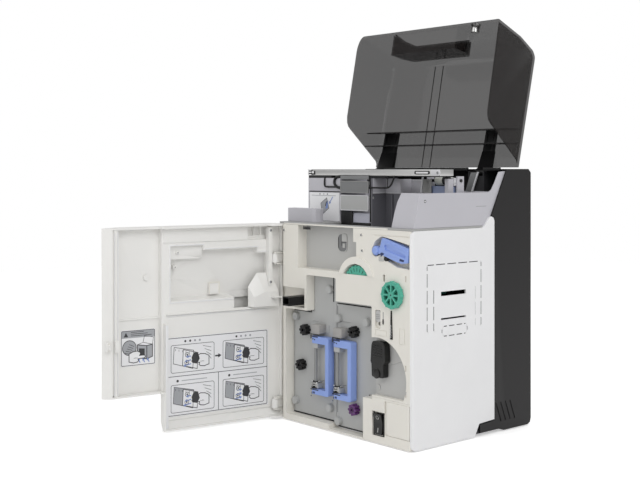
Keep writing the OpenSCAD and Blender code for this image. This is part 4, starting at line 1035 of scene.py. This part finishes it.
def breakout_groove_shade():
    """Scored lines of the break-out panels: dark strips in the grooves between the webs, painted
    shade of the cuts.
    """
    spans = []
    for y0, y1, z0, z1 in ((-112, 17, 181, 287), (-97, 2.5, 181, 249)):
        spans += [(y - 0.1, y + 1.5, a, b) for y in (y0, y1 - 1.4)
                  for a, b in dashes(z0, z1, 2, 14)]
        spans += [(a, b, z1 - 1.5, z1 + 0.1) for a, b in dashes(y0, y1, 2.6, 16)]
    spans += [(a, b, z, z + 1.5) for a, b in ((-72, -66), (-61, -48), (-43, -30), (-25, -22))
              for z in (172, 187.5)]
    spans += [(y, y + 1.5, 178, 183.4) for y in (-78, -18.5)]
    build("breakout_groove_shade", "neoprene", box,
          *[((170.2, y0, z0), (170.85, y1, z1)) for y0, y1, z0, z1 in spans])


def cabinet_trim():
    """Fixings, seams, scored lines and port frames of the covers."""
    # locating hole and scored line on the tray's right wall
    eye = rounded(-114.3, -111.5, 384.2, 387, 1.4, 5)
    build("tray_eyelet", "nylon_dark", ring,
          (rounded(-115.4, -110.4, 383.1, 388.1, 2.5, 5), eye, 167.4, 168.06, "x"))
    build("tray_eyelet_floor", "abs_white", push, (eye, 167.4, 168.03, "x"))
    build("tray_score", "nylon_flap", box, ((167.6, 7.6, 374.9), (168.05, 33, 375.5)))
    breakout_groove_shade()
    # seam between white and black covers, and under the tray
    build("side_seam", "abs_deck", box,
          ((167.6, -144, 340.15), (168.5, 14, 343.2)),
          ((-168.5, -80, 340.15), (-167.6, 14, 343.2)))
    build("deck_front_lip", "abs_warm", flats, (-146, -144.6, 0.5, (-137, 118, 340.2, 342.6)))
    screws("rear_screws", [(x, 146.3, z) for x in (-150, 150) for z in (30, 250, 410)],
           3.2, "zinc_sheet", out=1)
    # port frames and pins at the back
    build("inlet_frame", "nylon_black", band,
          (79.5, 114.5, 37.5, 64.5, 3, 4, 2, 144.8, 147.4))
    build("data_frame", "zinc_sheet", band, (-102, -84, 42, 59, 2, 3, 1, 145.2, 146.6))
    build("inlet_pins", "nickel", flats,
          (127.8, 140, 0.3, *[(x - 1, x + 1, 47.6, 54.2) for x in (91, 97, 103)]))
    screws("front_bosses", [(-135, -146.8, 330), (60, -146.8, 330), (62, -146.8, 305)],
           2.2, "abs_deck")
    screws("hinge_block_screws", [(-151, -131.9, 312), (-151, -131.9, 262)], 2.4, "abs_deck")


# ----------------------------------------------------------------------- door

def door_trim():
    """Screws, caps, clips and rims inside the front door."""
    on_door = {"body": "front_door", "place": DOOR}
    screws("strip_screws", [(-145.5, -148.95, z) for z in (239, 329)], 2.6, "zinc_sheet",
           out=1, **on_door)
    screws("tray_screws", [(26, -162.95, 296), (31, -162.95, 272)], 2.6, "abs_door",
           out=1, **on_door)
    # bright lip of the tray's corner plate and the steps beside it
    build("tray_lips", "abs_white", flats,
          (-160.2, -157.9, 0.5, (-127, -22, 300.2, 302), (-22, 42, 307.6, 309.6),
           (-149, -127, 291.4, 293), (41, 42.8, 213, 309), (-78, 42, 212.2, 213.8)), **on_door)
    build("groove_floor", "abs_door", flats, (-161, -158.4, 0.3, (140.7, 143.7, 70, 336)),
          **on_door)
    build("tray_clip", "abs_warm", flats,
          (-172.4, -170.6, 0.4, (-57.4, -36.6, 240.6, 243.2), (-57.4, -55.6, 222, 242),
           (-38.4, -36.6, 222, 242)), **on_door)
    # caps on the free side's strip, and the hook over the latch
    build("strip_beads", "abs_white", flats,
          (-156.9, -155.6, 0.4, (133.9, 135.4, 70, 334), (139.4, 140.7, 70, 334)), **on_door)
    build("lining_beads", "abs_white", box,
          ((49, -149.3, 8), (53.6, -148.4, 178), 0.4),
          ((-148, -158.9, 190.6), (48, -157.6, 192), 0.4), **on_door)
    build("latch_hook", "abs_warm", wire,
          (bent([(151, -153.4, 144), (151, -150.6, 147), (151, -150.6, 153),
                 (151, -153.4, 156)], 1.5), 1.1, 8), **on_door)


# ---------------------------------------------------------------------- cover

# The cover's side profile, y and z when shut, and how far each point draws in at its ends.
COVER_BEND = Vector((-99, 433))
COVER_FRONT = [((-142.7, 346), (30, 0)), ((-129.7, 404.3), (20, -3)), ((-127.3, 410.3), (18, -4))]
COVER_BROW = [(-114.7, 439.5), (-112, 442.8), (-108.7, 445.8), (-105.1, 448), (-101.7, 448.9),
              (-97.7, 449)]
COVER_RIM = [(90, 438.4), (84, 438.4), (78.5, 435), (33.1, 358.1), (29, 352.4), (22.5, 348.2),
             (12, 346)]
COVER_HALF = 171.0  # half of its width
COVER_WALL = 2.6  # thickness
COVER_ROUND = ((16.0, 1.0), (5.0, 0.1))  # radius across, and share of the draw, at each end
LOCK = (106, 361)  # axis of the cover's lock, in x and z when shut


def cover_solid(bm, wall):
    """The cover as a full block with round corners, drawn in by a wall's thickness."""
    line = []
    for (y, z), draw in COVER_FRONT:
        line.append((Vector((y + wall, z - (6 if wall and z < 350 else 0))), Vector(draw)))
    for p in COVER_BROW:
        reach = COVER_BEND - Vector(p)
        line.append((Vector(p) + reach.normalized() * wall, reach * 0.5))
    if wall:
        rim = [(91, 441.4 - wall), (91, 420), (78.5, 420), (26, 338)]
    else:
        rim = [(90, 441.4)] + COVER_RIM
    line += [(Vector(p), Vector((0, -2.2)) if i == 0 else Vector((0, 0)))
             for i, p in enumerate(rim)]
    half, steps, ends = COVER_HALF - wall, 7, []
    for bend, share in COVER_ROUND:
        turns = [math.radians(90 * i / steps) for i in range(steps + 1)]
        ends.append([(half - (bend - wall) * (1 - math.sin(t)), share * (1 - math.cos(t)))
                     for t in turns])
    stations = [(-x, d) for x, d in reversed(ends[0])] + ends[1]
    loops = [[bm.verts.new((x, *(p + draw * d))) for p, draw in line] for x, d in stations]
    capped(bm, loops)


def grip_block(bm, grow):
    """The finger recess in the cover's front wall, as a block."""
    outline = [(-78 - grow, 352 - grow), (72 + grow, 352 - grow), (72 + grow, 380),
               (62 + grow, 399 + grow), (-68 - grow, 399 + grow), (-78 - grow, 380)]
    push(bm, outline, -160, -103 + grow)


def solid(draw, *args):
    """A working solid, kept only until the cover is cut."""
    bm = bmesh.new()
    draw(bm, *args)
    bmesh.ops.recalc_face_normals(bm, faces=bm.faces)
    mesh = bpy.data.meshes.new("working")
    bm.to_mesh(mesh)
    bm.free()
    obj = bpy.data.objects.new("working", mesh)
    bpy.context.scene.collection.objects.link(obj)
    return obj


def cut(obj, other, how):
    """Joins, cuts or keeps what two working solids share."""
    step = obj.modifiers.new(how, "BOOLEAN")
    step.operation, step.solver, step.object = how, "EXACT", other


def cover_skin():
    """The smoked cover: one thin wall with round corners, the finger recess and the lock bore."""
    shell, hollow, full = (solid(cover_solid, wall) for wall in (0, COVER_WALL, 0))
    pocket, recess = solid(grip_block, 2), solid(grip_block, 0)
    x, z = LOCK
    bore = solid(rod, (x, -150, z), (x, -120, z), 7, 32)
    cut(pocket, full, "INTERSECT")
    cut(shell, hollow, "DIFFERENCE")
    cut(shell, pocket, "UNION")
    cut(shell, recess, "DIFFERENCE")
    cut(shell, bore, "DIFFERENCE")
    view = bpy.context.evaluated_depsgraph_get()
    mesh = bpy.data.meshes.new_from_object(shell.evaluated_get(view))
    for obj in (shell, hollow, full, pocket, recess, bore):
        bpy.data.objects.remove(obj)
    bm = bmesh.new()
    bm.from_mesh(mesh)
    if len(bm.faces) < 100:
        raise RuntimeError("the cover's shell came out empty")
    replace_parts(piece("cover_skin", bm, "smoke", "top_cover", LID, 24), "lid_shell")
    ribs = build("cover_ribs", "smoke_rib", push,
                 ([(22.4, 441.4), (24.6, 441.3), (34.2, 396), (32, 396)], -163.4, 163.4, "x"),
                 ([(48, 440.3), (50.2, 440.2), (59.4, 394), (57.2, 394)], -163.4, 163.4, "x"),
                 body="top_cover", place=LID)
    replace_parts(ribs, "lid_ribs")


def cover_trim():
    """Hinge straps, inner seams and lock collar of the smoked cover."""
    on_lid = {"body": "top_cover", "place": LID}
    straps = bmesh.new()
    for x0, x1 in ARMS:
        push(straps, [(25, 441.2), (66, 439.5), (66, 436.4), (25, 438.6)], x0 + 1, x1 - 1, "x",
             0.6)
        for x in (x0 + 6, x1 - 7.5):
            box(straps, (x, 30, 436.6), (x + 1.5, 64, 439.4), 0.4)
    piece("hinge_straps", straps, "nylon_black", **on_lid)
    ends = [ARMS[0][1] + 3, ARMS[1][0] - 3, ARMS[1][1] + 3, 158]
    build("rear_lip", "nylon_black", flats,
          (79.4, 82.6, 0.5, *[(a, b, 433, 438.4) for a, b in zip(ends[::2], ends[1::2])]))
    build("cover_seams", "smoke_rib", flats,
          (-103, 88, 0, *[(x, x + 1, 444.9, 446.2) for x in (-58, -38)]), **on_lid)
    build("lock_collar", "nickel", washer, (*LOCK, 8.4, 6.8, -143.6, -141.6), **on_lid)


class PRINTER_OT_finishes(bpy.types.Operator):
    """Makes the finishes and gives every CAD node its own"""
    bl_idname = "printer.finishes"
    bl_label = "Finishes"

    def execute(self, context):
        finishes()
        for node, finish in CAD_FINISH.items():
            paint(frame["nodes"][node], finish)
        for node, width in SOFT.items():
            soften(node, width)
        return {"FINISHED"}


class PRINTER_OT_plates(bpy.types.Operator):
    """Prints the pictures on the plates of the door and the feeder"""
    bl_idname = "printer.plates"
    bl_label = "Picture plates"

    def execute(self, context):
        for make in (door_plate, door_small_plate, feeder_plate):
            make()
        return {"FINISHED"}


class PRINTER_OT_feeder(bpy.types.Operator):
    """Dresses the light bar, the bail, the flaps, the cards and the hopper"""
    bl_idname = "printer.feeder"
    bl_label = "Feeder"

    def execute(self, context):
        for make in (light_bar, bail_wire, flap_trim, cards, hopper_trim):
            make()
        return {"FINISHED"}


class PRINTER_OT_cassettes(bpy.types.Operator):
    """Dresses the two cassettes, their blue handles and their knobs"""
    bl_idname = "printer.cassettes"
    bl_label = "Cassettes"

    def execute(self, context):
        for make in (bail_trim, knob_trim, cassette_trim):
            make()
        return {"FINISHED"}


class PRINTER_OT_controls(bpy.types.Operator):
    """Dresses the knob, the wheel, the levers, the slider and the power rocker"""
    bl_idname = "printer.controls"
    bl_label = "Controls"

    def execute(self, context):
        for make in (knob_face, lever_trim, slider_trim, rocker_trim):
            make()
        return {"FINISHED"}


class PRINTER_OT_cabinet(bpy.types.Operator):
    """Dresses the covers of the cabinet and its ports"""
    bl_idname = "printer.cabinet"
    bl_label = "Cabinet"

    def execute(self, context):
        window_plate()
        cabinet_trim()
        return {"FINISHED"}


class PRINTER_OT_door(bpy.types.Operator):
    """Dresses the inside of the front door"""
    bl_idname = "printer.door"
    bl_label = "Door"

    def execute(self, context):
        door_trim()
        return {"FINISHED"}


class PRINTER_OT_cover(bpy.types.Operator):
    """Dresses the smoked top cover"""
    bl_idname = "printer.cover"
    bl_label = "Top cover"

    def execute(self, context):
        cover_skin()
        cover_trim()
        return {"FINISHED"}


CAMERA_AT, CAMERA_LOOK = (1.33614, -1.35496, 0.436), (-0.7516, 0.6596, 0)  # metres, direction
LENS, SENSOR, FAR = 61.52, 36.0, 20  # focal length and sensor width in mm, far clip in metres
LAMP_AIM = Vector((0, 0, 0.3))
FLOOR_HALF = 3000  # millimetres from the middle of the floor to its edge
WHITE = (1, 1, 1, 1)


def seen_by(tree, *rays):
    """1 for the rays named, so that light can be kept for them."""
    path = add(tree, "LightPath")
    seen = path.outputs[rays[0]]
    for ray in rays[1:]:
        seen = add(tree, "Math", {0: seen, 1: path.outputs[ray]}, operation="MAXIMUM").outputs[0]
    return seen


def paper_floor(look):
    """A pale sweep of paper, a touch brighter to the camera than its light alone makes it."""
    bm = bmesh.new()
    bmesh.ops.create_grid(bm, x_segments=1, y_segments=1, size=FLOOR_HALF)
    mesh = bpy.data.meshes.new("floor")
    bm.to_mesh(mesh)
    bm.free()
    mesh.transform(Matrix.Scale(MM, 4))
    floor = bpy.data.objects.new("floor", mesh)
    bpy.context.scene.collection.objects.link(floor)
    material, tree, out = blank("paper_sweep_white")
    seen = seen_by(tree, "Is Camera Ray", "Is Glossy Ray", "Is Transmission Ray")
    lift = add(tree, "Math", {0: seen, 1: look.floor_lift}, operation="MULTIPLY")
    surface = add(tree, "BsdfPrincipled", {
        "Base Color": look.floor_colour, "Roughness": 0.9, "Specular IOR Level": 0.1,
        "Emission Color": WHITE, "Emission Strength": lift.outputs[0]})
    tree.links.new(surface.outputs[0], out.inputs[0])
    mesh.materials.append(material)


def studio_world(look):
    """Even light from all round, behind which the camera sees plain white."""
    world = bpy.data.worlds.new("studio")
    bpy.context.scene.world = world
    world.use_nodes = True
    tree = world.node_tree
    tree.nodes.clear()
    seen = seen_by(tree, "Is Camera Ray", "Is Transmission Ray")
    strength = add(tree, "MapRange", {"Value": seen, "To Min": look.fill, "To Max": 1.0})
    sky = add(tree, "Background", {"Color": WHITE, "Strength": strength.outputs[0]})
    tree.links.new(sky.outputs[0], add(tree, "OutputWorld").inputs[0])


def looking(name, data, place, way):
    """A lamp or camera at a place, turned to look a way."""
    obj = bpy.data.objects.new(name, data)
    obj.location = place
    obj.rotation_mode = "QUATERNION"
    obj.rotation_quaternion = Vector(way).to_track_quat("-Z", "Y")
    bpy.context.scene.collection.objects.link(obj)
    return obj


class PRINTER_OT_stage(bpy.types.Operator):
    """Makes the floor, the lamps, the world and the camera"""
    bl_idname = "printer.stage"
    bl_label = "Stage"

    def execute(self, context):
        look, scene = context.scene.printer_stage, context.scene
        scene.view_settings.view_transform = "Standard"
        paper_floor(look)
        studio_world(look)
        for name, place, size, power in (
                ("key", (1.9, -0.9, 1.9), 1.6, look.key_power),
                ("front_soft", (-0.5, -2.4, 1.5), 1.8, look.front_power),
                ("back_soft", (-0.8, 1.8, 2.2), 1.6, look.back_power)):
            lamp = bpy.data.lights.new(name, "AREA")
            lamp.shape, lamp.size, lamp.energy = "SQUARE", size, power
            looking(name, lamp, place, LAMP_AIM - Vector(place))
        lens = bpy.data.cameras.new("camera")
        lens.lens, lens.sensor_width, lens.shift_y, lens.clip_end = LENS, SENSOR, look.shift, FAR
        scene.camera = looking("camera", lens, CAMERA_AT, CAMERA_LOOK)
        return {"FINISHED"}


class PrinterStage(bpy.types.PropertyGroup):
    """Sizes and levels of the stage."""
    floor_colour: FloatVectorProperty(
        name="Floor", description="Colour of the paper sweep", subtype="COLOR", size=4,
        default=linear("#f2f2f2"), min=0, max=1)
    floor_lift: FloatProperty(
        name="Floor lift", description="Added light on the sweep that only the camera sees",
        default=0.45, min=0, max=1)
    fill: FloatProperty(
        name="Fill", description="Strength of the even light from all round", default=0.62,
        min=0, max=2)
    key_power: FloatProperty(
        name="Key", description="Lamp on the right of the printer", default=22, min=0,
        unit="POWER")
    front_power: FloatProperty(
        name="Front", description="Lamp before the printer", default=8, min=0, unit="POWER")
    back_power: FloatProperty(
        name="Back", description="Lamp behind the printer", default=10, min=0, unit="POWER")
    shift: FloatProperty(
        name="Shift", description="Upward shift of the lens, in frame widths",
        default=-0.111, min=-0.5, max=0.5)


class PRINTER_PT_panel(bpy.types.Panel):
    """Lists the printer's builders."""
    bl_label = "Card Printer"
    bl_space_type = "VIEW_3D"
    bl_region_type = "UI"
    bl_category = "Printer"

    def draw(self, context):
        for operator in OPERATORS:
            self.layout.operator(operator.bl_idname)


GROUPS = ((PrinterStage, "printer_stage"),)
OPERATORS = (PRINTER_OT_finishes, PRINTER_OT_plates, PRINTER_OT_feeder, PRINTER_OT_cassettes,
             PRINTER_OT_controls, PRINTER_OT_cabinet, PRINTER_OT_door, PRINTER_OT_cover,
             PRINTER_OT_stage)


def register():
    for group, name in GROUPS:
        bpy.utils.register_class(group)
        setattr(bpy.types.Scene, name, bpy.props.PointerProperty(type=group))
    for cls in OPERATORS + (PRINTER_PT_panel,):
        bpy.utils.register_class(cls)


def unregister():
    for cls in (PRINTER_PT_panel,) + OPERATORS[::-1]:
        bpy.utils.unregister_class(cls)
    for group, name in GROUPS[::-1]:
        delattr(bpy.types.Scene, name)
        bpy.utils.unregister_class(group)


def main():
    register()
    for operator in OPERATORS:
        category, name = operator.bl_idname.split(".")
        getattr(getattr(bpy.ops, category), name)()


if __name__ == "__main__":
    main()
